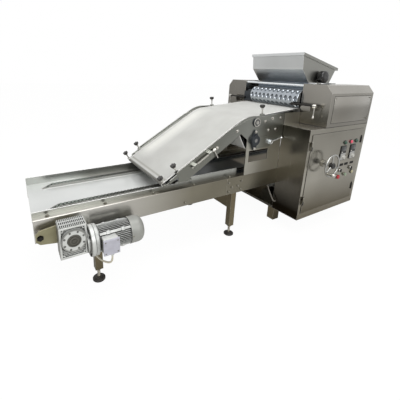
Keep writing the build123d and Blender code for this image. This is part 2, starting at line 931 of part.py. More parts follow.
def hand_screw_lug(point, angle):
    base = Box(2 * lug_half, half_width - belt_half - seat_gap, lug_height)
    middle = lug_height / 2 - belt_t
    base = Pos(0, (half_width + belt_half + seat_gap) / 2, middle) * base
    hole = Pos(0, stem_y, middle) * Cylinder(knob_stem_r + running_fit, lug_height)
    return Pos(point[0], 0, point[1]) * Rot(0, -angle, 0) * (base - hole)


def hand_screw(point, angle, rise, depth):
    stem = Pos(0, stem_y, (rise - depth) / 2) * Cylinder(knob_stem_r, rise + depth)
    knob = Pos(0, stem_y, rise + knob_height / 2) * Cylinder(knob_r - knob_lobe_r, knob_height)
    for i in range(knob_lobes):
        x, y = step_along((0, stem_y), 360 * i / knob_lobes, knob_r - knob_lobe_r)
        knob += Pos(x, y, rise + knob_height / 2) * Cylinder(knob_lobe_r, knob_height)
    return Pos(point[0], 0, point[1]) * Rot(0, -angle, 0) * (stem + knob)


def screw_axis():
    start = on_incline(screw_x0, -screw_drop)
    end = on_incline(screw_x1, -screw_drop)
    return start, end, math.dist(start, end)


def screw_frame():
    start, end, run = screw_axis()
    return Pos(start[0], side_outside + screw_off, start[1]) * Rot(0, -incline_angle, 0)


def screw_block_solid():
    """Two bearing blocks on the plate's face; the screw turns in them."""
    start, end, run = screw_axis()
    blocks = Part()
    for at in (screw_block, run - screw_block):
        body = Pos(at, 0, 0) * Box(screw_block, 2 * screw_off, 2 * screw_block_half)
        blocks += body - Pos(at, 0, 0) * Rot(0, 90, 0) * Cylinder(screw_r + running_fit, screw_block)
    return screw_frame() * blocks


def tension_screw():
    start, end, run = screw_axis()
    screw = Pos(run / 2, 0, 0) * Rot(0, 90, 0) * Cylinder(screw_r, run)
    collar_x = run + screw_collar / 2
    screw += Pos(collar_x, 0, 0) * Rot(0, 90, 0) * Cylinder(screw_collar_r, screw_collar)
    screw += Pos(collar_x, 0, -tommy_length / 2) * Cylinder(tommy_r, tommy_length)
    return screw_frame() * screw


def slider_beds():
    drop = belt_t + seat_gap
    low = drop + bed_sheet
    start = step_along(nose_top, incline_angle, bed_start)
    mid = 90 + (incline_angle + head_angle) / 2
    finish = on_head_run(bed_crest_end)
    upper, lower = [
        (above(start, incline_angle, -depth), above(bend_start, incline_angle, -depth),
         step_along(bend_centre, mid, crest_radius - depth), above(bend_end, head_angle, -depth),
         above(finish, head_angle, -depth))
        for depth in (drop, low)
    ]
    edges = [Line(upper[4], lower[4]), Line(lower[0], upper[0])]
    for side in (upper, lower):
        edges.append(Line(side[0], side[1]))
        edges.append(ThreePointArc(side[1], side[2], side[3]))
        edges.append(Line(side[3], side[4]))
    section = Plane.XZ * make_face(edges)
    incline = Pos(0, -half_width, 0) * extrude(section, amount=2 * half_width, dir=(0, 1, 0))
    flat = [
        above(on_head_run(bed_head_start), head_angle, -drop),
        above(on_head_run(bed_head_end), head_angle, -drop),
        above(on_head_run(bed_head_end), head_angle, -low),
        above(on_head_run(bed_head_start), head_angle, -low),
    ]
    return [incline, prism_along_y(flat, -half_width, half_width)]


def nose_bar():
    tail = Pos(nose_tail / 2, 0, 0) * Box(nose_tail, 2 * half_width, nose_tail_t)
    bar = Rot(90, 0, 0) * Cylinder(nose_r, 2 * half_width)
    place = Pos(nose_centre[0], 0, nose_centre[1]) * Rot(0, -incline_angle, 0)
    bar = place * (bar + tail)
    reach = nose_r + belt_t + seat_gap
    for side in (-1, 1):
        seat = Box(2 * nose_r, half_width - belt_half - seat_gap, reach)
        bar += place * Pos(0, side * (half_width + belt_half + seat_gap) / 2, reach / 2) * seat
        hole = Pos(0, side * stem_y, 0) * Cylinder(knob_stem_r + running_fit, 2 * reach)
        bar -= place * hole
    return bar


def support_plate():
    y0 = half_width - support_t
    plate = block(support_x0, side_end_x, y0, half_width, web_top, support_top)
    plate -= block(window_x0, window_x1, y0, half_width, window_z0, window_z1)
    return plate - rod_along_y(return_x, return_z, roller_shaft_r + shaft_clearance, y0, half_width)


def ledge_plate():
    return block(ledge_plate_x0, house_x, half_width, side_outside, cabinet_top, ledge_plate_top)


def belt_roller(x, z, radius, shaft_r, reach):
    barrel = rod_along_y(x, z, radius, -roller_half, roller_half)
    return barrel + rod_along_y(x, z, shaft_r, -reach, reach)


def belt_frame():
    save("incline_sides", *pair(side_plate()))
    save("slider_bed", *slider_beds())
    save("belt_bars", nose_bar(), rod_along_y(snub_x, snub_z, snub_r, -half_width, half_width))
    outer = extrude(belt_outline(belt_t), amount=belt_half, both=True)
    inner = extrude(belt_outline(0), amount=belt_half, both=True)
    save("extraction_belt", outer - inner)
    save("support_plates", *pair(support_plate()), *pair(ledge_plate()))
    bearing_end = side_outside + flange_bearing_t
    save("return_roller", belt_roller(return_x, return_z, return_r, roller_shaft_r, bearing_end))
    crest_end = side_outside + crest_bush_t
    roller = belt_roller(crest_roller_x, crest_roller_z, crest_roller_r, crest_shaft_r, crest_end)
    save("crest_roller", roller)
    edge = hand_screw(on_incline(edge_knob_x), incline_angle, edge_knob_rise, belt_t)
    nose = hand_screw(nose_centre, incline_angle, nose_r + nose_knob_rise, nose_r)
    top = hand_screw(on_head_run(crest_knob_x), head_angle, crest_knob_rise, belt_t)
    for name, screw in (("edge_knob", edge), ("nose_knob", nose), ("crest_knob", top)):
        save(f"{name}_far", screw)
        save(f"{name}_near", other_side(screw))
    save("tension_screw_far", tension_screw())
    save("tension_screw_near", other_side(tension_screw()))
    hub_end = -(side_outside + seat_gap + lever_hub_t)
    lever = rod_along_y(lever_x, lever_z, lever_hub_r, hub_end, -(side_outside + seat_gap))
    arm = Pos(lever_reach / 2, 0, 0) * Rot(0, 90, 0) * Cylinder(lever_r, lever_reach)
    arm += Pos(lever_reach, 0, 0) * Sphere(lever_knob_r)
    lever += Pos(lever_x, hub_end + lever_hub_t / 2, lever_z) * Rot(0, -lever_tilt, 0) * arm
    save("belt_lever", lever)


# Moulding head
def flange_bearing(x, z, y0):
    y1 = y0 + flange_bearing_t
    body = rod_along_y(x, z, flange_bearing_r, y0, y1)
    ears = []
    for way in (-1, 1):
        body += rod_along_y(x, z + way * flange_ear, flange_ear_r, y0, y0 + flange_bearing_t / 2)
        ears.append((x - flange_ear_r, z + way * flange_ear))
        ears.append((x + flange_ear_r, z + way * flange_ear))
    plate = [ears[0], ears[1], (x + flange_bearing_r, z), ears[3], ears[2], (x - flange_bearing_r, z)]
    body += prism_along_y(plate, y0, y0 + flange_bearing_t / 2)
    return body - rod_along_y(x, z, roller_shaft_r + running_fit, y0, y1)


def die_block():
    stepped = [
        (block_inner, block_bottom),
        (half_width, block_bottom),
        (half_width, block_top),
        (block_step, block_top),
        (block_step, block_inner_top),
        (block_inner, block_inner_top),
    ]
    body = prism_along_x(stepped, die_x - block_front, die_x + block_back)
    return body - rod_along_y(die_x, die_z, journal_r + running_fit, block_inner, half_width)


def rod_bracket():
    body = block(rod_x - rod_r - rod_bracket_lip, house_x, rod_bracket_y0, rod_bracket_y1,
                 rod_bracket_z0, rod_z - rod_r + rod_bracket_lip)
    return body - rod_along_y(rod_x, rod_z, rod_r + running_fit, rod_bracket_y0, rod_bracket_y1)


def bearings():
    inside = half_width + sheet
    solids = pair(flange_bearing(return_x, return_z, side_outside))
    crest_bore = crest_shaft_r + running_fit
    crest_end = side_outside + crest_bush_t
    solids += pair(ring_along_y(
        crest_roller_x, crest_roller_z, crest_bush_r, crest_bore, side_outside, crest_end))
    solids.append(flange_bearing(drive_x, drive_z, half_width))
    for side in (-1, 1):
        y0, y1 = sorted((side * web_inside, side * (web_inside - idler_block_t)))
        half = idler_block / 2
        carrier = block(idler_x - half, idler_x + half, y0, y1, drive_z - half, drive_z + half)
        solids.append(carrier - rod_along_y(idler_x, drive_z, tray_shaft_r + running_fit, y0, y1))
    for x, z in ((pressure_x, pressure_z), (die_x, die_z), (feed_x, feed_z)):
        bore = journal_r + running_fit
        solids += pair(ring_along_y(x, z, inner_bearing_r, bore, inside, inside + inner_bearing_t))
    solids.append(die_block())
    save("bearing_housings", *solids)


def clamp_rod():
    rod = rod_along_y(rod_x, rod_z, rod_r, rod_inner, rod_outer + handle_hub)
    rod += rod_along_y(rod_x, rod_z, rod_head_r, rod_inner - rod_head, rod_inner)
    rod += rod_along_y(rod_x, rod_z, handle_hub_r, rod_outer, rod_outer + handle_hub)
    handle_y = rod_outer + handle_hub / 2
    rod += rod_along_z(rod_x, handle_y, handle_r, rod_z - handle_length, rod_z)
    return rod + Pos(rod_x, handle_y, rod_z - handle_length) * Sphere(handle_ball_r)


def rollers():
    reach = half_width + journal_reach
    die = rod_along_y(die_x, die_z, die_r, -die_near, die_far)
    die += rod_along_y(die_x, die_z, journal_r, -reach, reach)
    save("die_roller", die)
    feed = rod_along_y(feed_x, feed_z, feed_r, -feed_half, feed_half)
    for i in range(feed_grooves):
        x, z = step_along((feed_x, feed_z), 360 * i / feed_grooves, feed_r)
        feed -= rod_along_y(x, z, feed_groove_r, -feed_half, feed_half)
    feed += rod_along_y(feed_x, feed_z, journal_r, -reach, reach)
    save("feed_roller", feed)
    save("pressure_roller", belt_roller(pressure_x, pressure_z, pressure_r, journal_r, reach))
    save("clamp_rod_far", clamp_rod())
    save("clamp_rod_near", other_side(clamp_rod()))
    save("tie_bar", rod_along_y(tie_x, tie_z, tie_r, -half_width, half_width))


# Cabinets and housings
def housing():
    outer = [
        (half_width, cabinet_top),
        (half_width, house_top),
        (cabinet_face - chamfer_y, house_top),
        (cabinet_face, house_top - chamfer_z),
        (cabinet_face, cabinet_top),
    ]
    lean = math.hypot(chamfer_y, chamfer_z)
    cut_y = sheet * (lean - chamfer_y) / chamfer_z
    cut_z = sheet * (lean - chamfer_z) / chamfer_y
    inner = [
        (half_width + sheet, cabinet_top),
        (half_width + sheet, house_top - sheet),
        (cabinet_face - chamfer_y - cut_y, house_top - sheet),
        (cabinet_face - sheet, house_top - chamfer_z - cut_z),
        (cabinet_face - sheet, cabinet_top),
    ]
    shell = prism_along_x(outer, house_x, length) - prism_along_x(inner, house_x + sheet, length - sheet)
    for x, z in ((pressure_x, pressure_z), (die_x, die_z), (feed_x, feed_z)):
        shell -= rod_along_y(x, z, journal_r + shaft_clearance, half_width, half_width + sheet)
    return shell + rod_bracket()


def cabinet(with_opening):
    floor = pan_z + pan_t
    shell = block(head_x, length, half_width, cabinet_face, floor, cabinet_top)
    inner_face = cabinet_face - sheet
    x0, x1 = head_x + sheet, length - sheet
    shell -= block(x0, x1, half_width + sheet, inner_face, floor, cabinet_top - sheet)
    if with_opening:
        x0, x1 = door_x0 + door_lap, door_x1 - door_lap
        shell -= block(x0, x1, inner_face, cabinet_face, door_z0 + door_lap, door_z1 - door_lap)
        end = cable_points[-1]
        shell -= rod_along_x(-end[1], end[2], cable_d / 2 + seat_gap, head_x, head_x + sheet)
    return shell


def cases():
    save("housing_near", other_side(housing()))
    save("cabinet_near", other_side(cabinet(True)))
    save("far_case", cabinet(False) + housing())
    pan = block(head_x, length, -cabinet_face, cabinet_face, pan_z, pan_z + pan_t)
    for x in (head_x, length - sheet):
        pan += block(x, x + sheet, -half_width, half_width, pan_z, pan_z + pan_t + pan_lip)
    save("base_pan", pan)
    axis_z = pan_z + pan_t + main_motor_foot + main_motor_r
    foot_top = axis_z - main_motor_r
    x0, x1 = main_motor_x0, main_motor_x0 + main_motor_length
    drive = rod_along_x(0, axis_z, main_motor_r, x0, x1)
    drive += block(x0, x1, -main_motor_foot_half, main_motor_foot_half, pan_z + pan_t, foot_top)
    drive += block(x0, x1, -main_motor_r / 2, main_motor_r / 2, pan_z + pan_t, axis_z)
    save("main_motor", drive)


def hopper():
    outline = [hopper_front, hopper_fold, hopper_front_low, hopper_back_low, hopper_back_fold, hopper_back]
    walls = [(x + sheet, z) for x, z in outline[:3]] + [(x - sheet, z) for x, z in outline[3:]]
    inside = [
        beyond(walls[1], walls[0], rim_height),
        walls[1],
        beyond(walls[1], walls[2], rim_height),
        beyond(walls[4], walls[3], rim_height),
        walls[4],
        beyond(walls[4], walls[5], rim_height),
    ]
    rim = [
        (hopper_front[0] - rim_out, hopper_front[1]),
        (hopper_front[0] - rim_out, hopper_front[1] - rim_height),
        (hopper_back[0] + rim_out, hopper_back[1] - rim_height),
        (hopper_back[0] + rim_out, hopper_back[1]),
    ]
    rim_half = hopper_half + rim_out
    shell = prism_along_y(outline, -hopper_half, hopper_half) + prism_along_y(rim, -rim_half, rim_half)
    ear_half = hopper_half + ear_reach
    for x in ear_positions:
        shell += block(x, x + ear_length, -ear_half, ear_half, house_top, house_top + ear_t)
    shell -= prism_along_y(inside, sheet - hopper_half, hopper_half - sheet)
    spindle_bore = hopper_spindle_r + running_fit
    return shell - rod_along_y(hopper_knob_x, hopper_knob_z, spindle_bore, -hopper_half, 0)


def hopper_knob():
    outer = -hopper_half - hopper_stem
    knob = rod_along_y(hopper_knob_x, hopper_knob_z, hopper_stem_r, outer, -hopper_half - seat_gap)
    knob += rod_along_y(hopper_knob_x, hopper_knob_z, hopper_spindle_r, outer, sheet - hopper_half)
    end = outer - hopper_knob_length
    return knob + rod_along_y(hopper_knob_x, hopper_knob_z, hopper_knob_r, end, outer)


# Door and what it carries, all on the -Y side
hinge_x = door_x0 - hinge_edge
hinge_y = -(cabinet_face + hinge_off)


def through_door(x, z, radius):
    return rod_along_y(x, z, radius, -door_face, -door_inside)


def door():
    panel = block(door_x0, door_x1, -door_face, -door_inside, door_z0, door_z1)
    panel -= through_door(wheel_x, wheel_z, wheel_shaft_r + running_fit)
    for z in latch_z:
        panel -= through_door(latch_x, z, latch_spindle_r + running_fit)
    for x in selector_x:
        panel -= through_door(x, selector_z, spindle_r + running_fit)
    for x, z in zip(button_x, button_z):
        panel -= through_door(x, z, spindle_r + running_fit)
    panel += ring_along_y(wheel_x, wheel_z, wheel_boss_r, wheel_shaft_r + running_fit,
                          -door_face - wheel_boss, -door_face)
    collar_y = -door_face - button_collar
    for x, z, inner, outer in zip(button_x, button_z, button_r, button_collar_r):
        panel += ring_along_y(x, z, outer, inner + seat_gap, collar_y, -door_face)
    for z in hinge_z:
        panel += hinge_half(z + hinge_length / 4, door_x0, door_x0 + hinge_leaf, -door_face)
        panel -= rod_along_z(hinge_x, hinge_y, hinge_pin_r + running_fit, z, z + hinge_length / 2)
    return panel


def hinge_half(z, leaf_x0, leaf_x1, face_y):
    """Half of a hinge: a barrel round the pin and a leaf on the face at face_y."""
    half = hinge_length / 4 - seat_gap / 2
    barrel = rod_along_z(hinge_x, hinge_y, hinge_r, z - half, z + half)
    near_x = leaf_x0 if abs(leaf_x0 - hinge_x) < abs(leaf_x1 - hinge_x) else leaf_x1
    leaf = block(leaf_x0, leaf_x1, face_y - hinge_leaf_t, face_y, z - half, z + half)
    x0, x1 = sorted((hinge_x, near_x + math.copysign(hinge_leaf_t, near_x - hinge_x)))
    y0, y1 = sorted((face_y, hinge_y))
    leaf += block(x0, x1, y0, y1, z - half, z + half)
    return barrel + leaf


def frame_hinges():
    solids = []
    for z in hinge_z:
        low = z - hinge_length / 4
        half = hinge_length / 4 - seat_gap / 2
        fixed = hinge_half(low, hinge_x - hinge_r - hinge_leaf, hinge_x - hinge_r, -cabinet_face)
        fixed += rod_along_z(hinge_x, hinge_y, hinge_pin_r, low - half, z + hinge_length / 2)
        solids.append(fixed)
    return solids


def latch(z):
    x0, x1 = latch_x - latch_width / 2, latch_x + latch_width / 2
    back = -door_face - seat_gap
    grip = block(x0, x1, -door_face - latch_t, back, z - latch_height / 2, z + latch_height / 2)
    return grip + rod_along_y(latch_x, z, latch_spindle_r, back, -door_inside)


def handwheel():
    section = Pos(wheel_r, 0, 0) * RectangleRounded(wheel_rim_width, wheel_rim_depth, wheel_rim_round)
    wheel = Pos(wheel_x, wheel_y, wheel_z) * revolve(section, axis=Axis.Y)
    wheel += rod_along_y(wheel_x, wheel_z, wheel_hub_r, wheel_y - wheel_hub / 2, wheel_y + wheel_hub / 2)
    wheel += rod_along_y(wheel_x, wheel_z, wheel_shaft_r, wheel_y, -door_inside)
    for i in range(spoke_count):
        spoke = Pos(wheel_r / 2, 0, 0) * Rot(0, 90, 0) * Cylinder(spoke_r, wheel_r)
        turn = crank_angle + 360 * i / spoke_count
        wheel += Pos(wheel_x, wheel_y, wheel_z) * Rot(0, -turn, 0) * spoke
    x, z = step_along((wheel_x, wheel_z), crank_angle, wheel_r)
    return wheel + rod_along_y(x, z, crank_r, crank_end, wheel_y)


def controller(x):
    x0, x1 = x - controller_width / 2, x + controller_width / 2
    z0, z1 = controller_z - controller_height / 2, controller_z + controller_height / 2
    face = -door_face - controller_depth
    body = block(x0, x1, face, -door_face, z0, z1)
    return body - rod_along_y(x, controller_z - dial_drop, dial_spindle_r + running_fit, face, -door_face)


def dial(x):
    z = controller_z - dial_drop
    back = -door_face - controller_depth - seat_gap
    front = -door_face - controller_depth - dial_height
    knob = rod_along_y(x, z, dial_r, front, back)
    mark_half = dial_spindle_r / 2
    knob += block(x - mark_half, x + mark_half, front - dial_mark, front, z, z + dial_r)
    return knob + rod_along_y(x, z, dial_spindle_r, back, -door_face - seat_gap)


def lamp(x, z):
    body = rod_along_y(x, z, lamp_collar_r, -door_face - lamp_collar, -door_face)
    return body + rod_along_y(x, z, lamp_r, -door_face - lamp_height, -door_face - lamp_collar)


def selector(x):
    back = -door_face - seat_gap
    front = back - selector_height
    body = rod_along_y(x, selector_z, selector_r, front, back)
    x0, x1 = x - selector_grip / 2, x + selector_grip / 2
    z0, z1 = selector_z - selector_r, selector_z + selector_r
    body += block(x0, x1, front - selector_grip_height, front, z0, z1)
    return body + rod_along_y(x, selector_z, spindle_r, back, -door_inside)


def button(x, z, radius):
    base = -door_face - seat_gap - button_travel
    cap = rod_along_y(x, z, radius, base - button_height, base)
    return cap + rod_along_y(x, z, spindle_r, base, -door_inside)


def door_group():
    save("cabinet_door", door())
    save("door_hinges", *frame_hinges())
    save("latch_lower", latch(latch_z[0]))
    save("latch_upper", latch(latch_z[1]))
    save("handwheel", handwheel())
    save("speed_controllers", *[controller(x) for x in controller_x])
    save("speed_dial_left", dial(controller_x[0]))
    save("speed_dial_right", dial(controller_x[1]))
    reset_lamp = lamp(door_x1 - reset_lamp_in, reset_lamp_z)
    save("indicator_lamps", *[lamp(x, lamp_z) for x in lamp_x], reset_lamp)
    save("selector_left", selector(selector_x[0]))
    save("selector_right", selector(selector_x[1]))
    save("stop_button", button(button_x[0], button_z[0], button_r[0]))
    save("start_button", button(button_x[1], button_z[1], button_r[1]))


def fasteners():
    heads = []
    for x, z in splice_bolts + (web_bolt,):
        heads += pair(rod_along_y(x, z, bolt_r, half_width, half_width + bolt_head))
    for x in flange_bolts:
        heads += pair(rod_along_z(x, half_width - flange_bolt_in, bolt_r, web_top, web_top + bolt_head))
    save("frame_bolts", *heads, anchor_bolt())


conveyor()
legs()
tray_drive()
belt_frame()
bearings()
rollers()
cases()
save("hopper", hopper())
save("hopper_knob", hopper_knob())
door_group()
fasteners()
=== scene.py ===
import math

import bpy
from mathutils import Matrix, Vector


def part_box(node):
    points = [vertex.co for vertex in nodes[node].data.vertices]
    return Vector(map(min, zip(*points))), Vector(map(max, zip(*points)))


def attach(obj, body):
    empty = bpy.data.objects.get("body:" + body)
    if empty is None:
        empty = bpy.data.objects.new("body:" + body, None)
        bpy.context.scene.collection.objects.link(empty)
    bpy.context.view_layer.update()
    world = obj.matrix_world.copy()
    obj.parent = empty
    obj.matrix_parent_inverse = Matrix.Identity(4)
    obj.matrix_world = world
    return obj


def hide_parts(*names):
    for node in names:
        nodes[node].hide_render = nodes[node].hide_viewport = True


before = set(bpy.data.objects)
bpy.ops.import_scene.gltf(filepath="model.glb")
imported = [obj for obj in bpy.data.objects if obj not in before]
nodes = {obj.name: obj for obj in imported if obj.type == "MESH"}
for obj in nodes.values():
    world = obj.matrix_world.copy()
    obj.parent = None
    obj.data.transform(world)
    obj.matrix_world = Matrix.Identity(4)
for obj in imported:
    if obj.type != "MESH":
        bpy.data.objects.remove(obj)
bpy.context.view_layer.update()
MM = 0.001

# The machine's own axes: x from the discharge end, y from the centre plane, z from the floor, in millimetres
channel_low, channel_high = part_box("side_channels")
ORIGIN = Vector((channel_low.x, (channel_low.y + channel_high.y) / 2, 0))
X, Y, Z = Vector((1, 0, 0)), Vector((0, 1, 0)), Vector((0, 0, 1))
NEAR, FAR = -1, 1
SIDES = ((NEAR, "near"), (FAR, "far"))


def at(x, y, z):
    return ORIGIN + Vector((x, y, z)) * MM


def span(node_name):
    """Lowest and highest corner of a CAD node on the machine's axes, in millimetres."""
    return [(corner - ORIGIN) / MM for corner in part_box(node_name)]


# Camera, matched to the photograph
CAMERA_PLACE = (-16.3, -1527.5, 1092.0)
CAMERA_TURN = 31.36
CAMERA_DROP = 15.81
CAMERA_ROLL = 1.84
IMAGE_SIDE = 400.0
FOCAL_PIXELS = 275.45
PRINCIPAL_POINT = (178.94, 149.05)
SENSOR_MM = 36.0


def make_camera():
    camera = bpy.data.objects.new("camera", bpy.data.cameras.new("camera"))
    bpy.context.scene.collection.objects.link(camera)
    turn = Matrix.Rotation(math.radians(-CAMERA_TURN), 4, "Z")
    drop = Matrix.Rotation(math.radians(90 - CAMERA_DROP), 4, "X")
    roll = Matrix.Rotation(math.radians(CAMERA_ROLL), 4, "Z")
    camera.matrix_world = Matrix.Translation(at(*CAMERA_PLACE)) @ turn @ drop @ roll
    camera.data.sensor_width = SENSOR_MM
    camera.data.lens = FOCAL_PIXELS / IMAGE_SIDE * SENSOR_MM
    camera.data.shift_x = 0.5 - PRINCIPAL_POINT[0] / IMAGE_SIDE
    camera.data.shift_y = PRINCIPAL_POINT[1] / IMAGE_SIDE - 0.5
    camera.data.clip_start = 0.05
    camera.data.clip_end = 60.0
    bpy.context.scene.camera = camera


# Materials
def colour(hex_value):
    """An sRGB hex value as linear RGBA."""
    parts = [int(hex_value[i:i + 2], 16) / 255 for i in (0, 2, 4)]
    return [p / 12.92 if p <= 0.04045 else ((p + 0.055) / 1.055) ** 2.4 for p in parts] + [1.0]


def node(tree, kind, inputs=None, **settings):
    """Adds a node with its settings; an input is a value or a socket to link from."""
    made_node = tree.nodes.new(kind)
    for key, value in settings.items():
        setattr(made_node, key, value)
    for key, value in (inputs or {}).items():
        if isinstance(value, bpy.types.NodeSocket):
            tree.links.new(value, made_node.inputs[key])
        else:
            made_node.inputs[key].default_value = value
    return made_node


def new_material(name, **sockets):
    material = bpy.data.materials.new(name)
    material.use_nodes = True
    tree = material.node_tree
    shader = tree.nodes["Principled BSDF"]
    for key, value in sockets.items():
        shader.inputs[key.replace("_", " ")].default_value = value
    return material, tree, shader


def blotches(tree, size_mm, stretch=(1, 1, 1), detail=3.0):
    """A soft noise of blotches about size_mm across, 0 to 1, on the object's own coordinates."""
    place = node(tree, "ShaderNodeTexCoord").outputs["Object"]
    place = node(tree, "ShaderNodeMapping", {"Vector": place, "Scale": stretch}).outputs["Vector"]
    noise = node(tree, "ShaderNodeTexNoise", {"Vector": place, "Scale": 1000 / size_mm, "Detail": detail})
    return noise.outputs["Fac"]


def spread(tree, value, low, high, start=0.0, end=1.0):
    """A value from start to end, spread from low to high."""
    inputs = {"Value": value, "From Min": start, "From Max": end, "To Min": low, "To Max": high}
    return node(tree, "ShaderNodeMapRange", inputs).outputs["Result"]


def tinted(tree, value, low, high, start=0.3, end=0.7):
    """A value turned to a colour between two hex values."""
    ramp = node(tree, "ShaderNodeValToRGB", {"Fac": value})
    for element, position, hex_value in zip(ramp.color_ramp.elements, (start, end), (low, high)):
        element.position = position
        element.color = colour(hex_value)
    return ramp.outputs["Color"]


def mixed(tree, share, first, second):
    mix = node(tree, "ShaderNodeMix", {0: share, 6: first, 7: second}, data_type="RGBA")
    return mix.outputs[2]


def raised(tree, height, depth_mm, normal=None):
    inputs = {"Height": height, "Strength": 1.0, "Distance": depth_mm * MM}
    if normal:
        inputs["Normal"] = normal
    return node(tree, "ShaderNodeBump", inputs).outputs["Normal"]


def rounded_edge(tree, radius_mm):
    return node(tree, "ShaderNodeBevel", {"Radius": radius_mm * MM}, samples=6).outputs["Normal"]


# How far the painted shade with oily dust reaches into recesses
GRIME_AND_SHADE_REACH_MM = 9.0
# Painted highlight along sharp edges, standing for the light that rounded folds catch
EDGE_HIGHLIGHT = "cfccc4"
ALONG_X = (0.03, 1, 1)
ALONG_Z = (1, 1, 0.03)


def edge_share(tree, radius_mm):
    """1 along sharp edges and 0 on the flat, from the rounded normal's lean."""
    flat = node(tree, "ShaderNodeNewGeometry").outputs["Normal"]
    inputs = {0: rounded_edge(tree, radius_mm), 1: flat}
    lean = node(tree, "ShaderNodeVectorMath", inputs, operation="DOT_PRODUCT")
    return spread(tree, lean.outputs["Value"], 1.0, 0.0, 0.75, 0.98)


def facing_share(tree, direction):
    """1 on faces that look along a direction, 0 on those square to it."""
    facing = node(tree, "ShaderNodeNewGeometry").outputs["Normal"]
    along = node(tree, "ShaderNodeVectorMath", {0: facing, 1: direction}, operation="DOT_PRODUCT")
    return spread(tree, along.outputs["Value"], 0.0, 1.0, 0.5, 0.9)


def along_share(tree, axis, start, end):
    """1 at a place on one of the machine's axes, fading to 0 at another, in millimetres."""
    place = node(tree, "ShaderNodeTexCoord").outputs["Object"]
    distance = node(tree, "ShaderNodeSeparateXYZ", {"Vector": place}).outputs[axis]
    zero = ORIGIN["XYZ".index(axis)]
    return spread(tree, distance, 1.0, 0.0, zero + start * MM, zero + end * MM)


def both_shares(tree, first, second):
    """Where two of the above hold at once, each given as a function and its places."""
    shares = {i: share(tree, *places) for i, (share, *places) in enumerate((first, second))}
    return node(tree, "ShaderNodeMath", shares, operation="MULTIPLY").outputs[0]


def recess_share(tree, reach_mm=GRIME_AND_SHADE_REACH_MM):
    """1 in recesses and 0 in the open, where shade and dust are painted."""
    occlusion = node(tree, "ShaderNodeAmbientOcclusion", {"Distance": reach_mm * MM}, samples=6)
    return spread(tree, occlusion.outputs["AO"], 1.0, 0.0, 0.35, 0.9)


def hollow_share(tree, x, z, radius):
    """1 nearer to an axis along Y than a radius, where a barrel is hollowed out, and 0 on its surface."""
    place = node(tree, "ShaderNodeTexCoord").outputs["Object"]
    centre = at(x, 0, z)
    inputs = {"Vector": place, "Location": (-centre.x, 0, -centre.z), "Scale": (1, 0, 1)}
    across = node(tree, "ShaderNodeMapping", inputs).outputs["Vector"]
    distance = node(tree, "ShaderNodeVectorMath", {0: across}, operation="LENGTH").outputs["Value"]
    return spread(tree, distance, 1.0, 0.0, (radius - 3) * MM, (radius - 0.4) * MM)


def toned(tree, tint, tones):
    """A tint with the tones of single faces and lengths, each after the function and places of its share."""
    for share, *places, tone in tones:
        tint = mixed(tree, share(tree, *places), tint, colour(tone))
    return tint


def sheet_steel(name, low, high, rough=(0.2, 0.3), grain=ALONG_Z, edge_mm=2.0, edge_highlight=EDGE_HIGHLIGHT,
                tones=(), metallic=1.0):
    """Stainless sheet, rolled and finely ground: soft blotches, faint lines along the grain, and a painted
    highlight along the edges.
    """
    material, tree, shader = new_material(name, Metallic=metallic)
    tint = toned(tree, tinted(tree, blotches(tree, 320, detail=2.0), low, high), tones)
    # Painted highlight along the edges
    tint = mixed(tree, edge_share(tree, edge_mm), tint, colour(edge_highlight))
    tree.links.new(tint, shader.inputs["Base Color"])
    lines = blotches(tree, 7, stretch=grain, detail=4.0)
    tree.links.new(spread(tree, lines, *rough), shader.inputs["Roughness"])
    tree.links.new(raised(tree, lines, 0.02, rounded_edge(tree, edge_mm)), shader.inputs["Normal"])
    return material


def turned_steel(name, low, high, rough=(0.12, 0.24), grain_mm=3.0, tones=()):
    """Turned, ground or plated steel: bright, with fine tool marks."""
    material, tree, shader = new_material(name, Metallic=1.0)
    marks = blotches(tree, grain_mm, detail=4.0)
    tint = toned(tree, tinted(tree, blotches(tree, 40), low, high), tones)
    tree.links.new(tint, shader.inputs["Base Color"])
    tree.links.new(spread(tree, marks, *rough), shader.inputs["Roughness"])
    tree.links.new(raised(tree, marks, 0.01), shader.inputs["Normal"])
    return material


def painted(name, low, high, rough=(0.32, 0.46), grain_mm=1.6, depth_mm=0.06, edge_mm=1.2, grime_and_shade=None,
            reach_mm=GRIME_AND_SHADE_REACH_MM, tones=(), **sockets):
    """Spray paint on a casting or plate: slight orange peel, and painted shade with oily dust in the
    recesses.
    """
    material, tree, shader = new_material(name, **sockets)
    peel = blotches(tree, grain_mm, detail=2.0)
    tint = toned(tree, tinted(tree, blotches(tree, 55), low, high), tones)
    # Painted shade with oily dust in the recesses
    if grime_and_shade:
        tint = mixed(tree, recess_share(tree, reach_mm), tint, colour(grime_and_shade))
    tree.links.new(tint, shader.inputs["Base Color"])
    tree.links.new(spread(tree, blotches(tree, 30), *rough), shader.inputs["Roughness"])
    tree.links.new(raised(tree, peel, depth_mm, rounded_edge(tree, edge_mm)), shader.inputs["Normal"])
    return material


def moulded(name, low, high, rough=(0.3, 0.42), grain_mm=0.8, depth_mm=0.02, tones=(), **sockets):
    """Moulded plastic or rubber: fine mould grain and faint wear."""
    material, tree, shader = new_material(name, **sockets)
    grain = blotches(tree, grain_mm, detail=2.0)
    tint = toned(tree, tinted(tree, blotches(tree, 25), low, high), tones)
    tree.links.new(tint, shader.inputs["Base Color"])
    tree.links.new(spread(tree, blotches(tree, 18), *rough), shader.inputs["Roughness"])
    tree.links.new(raised(tree, grain, depth_mm), shader.inputs["Normal"])
    return material


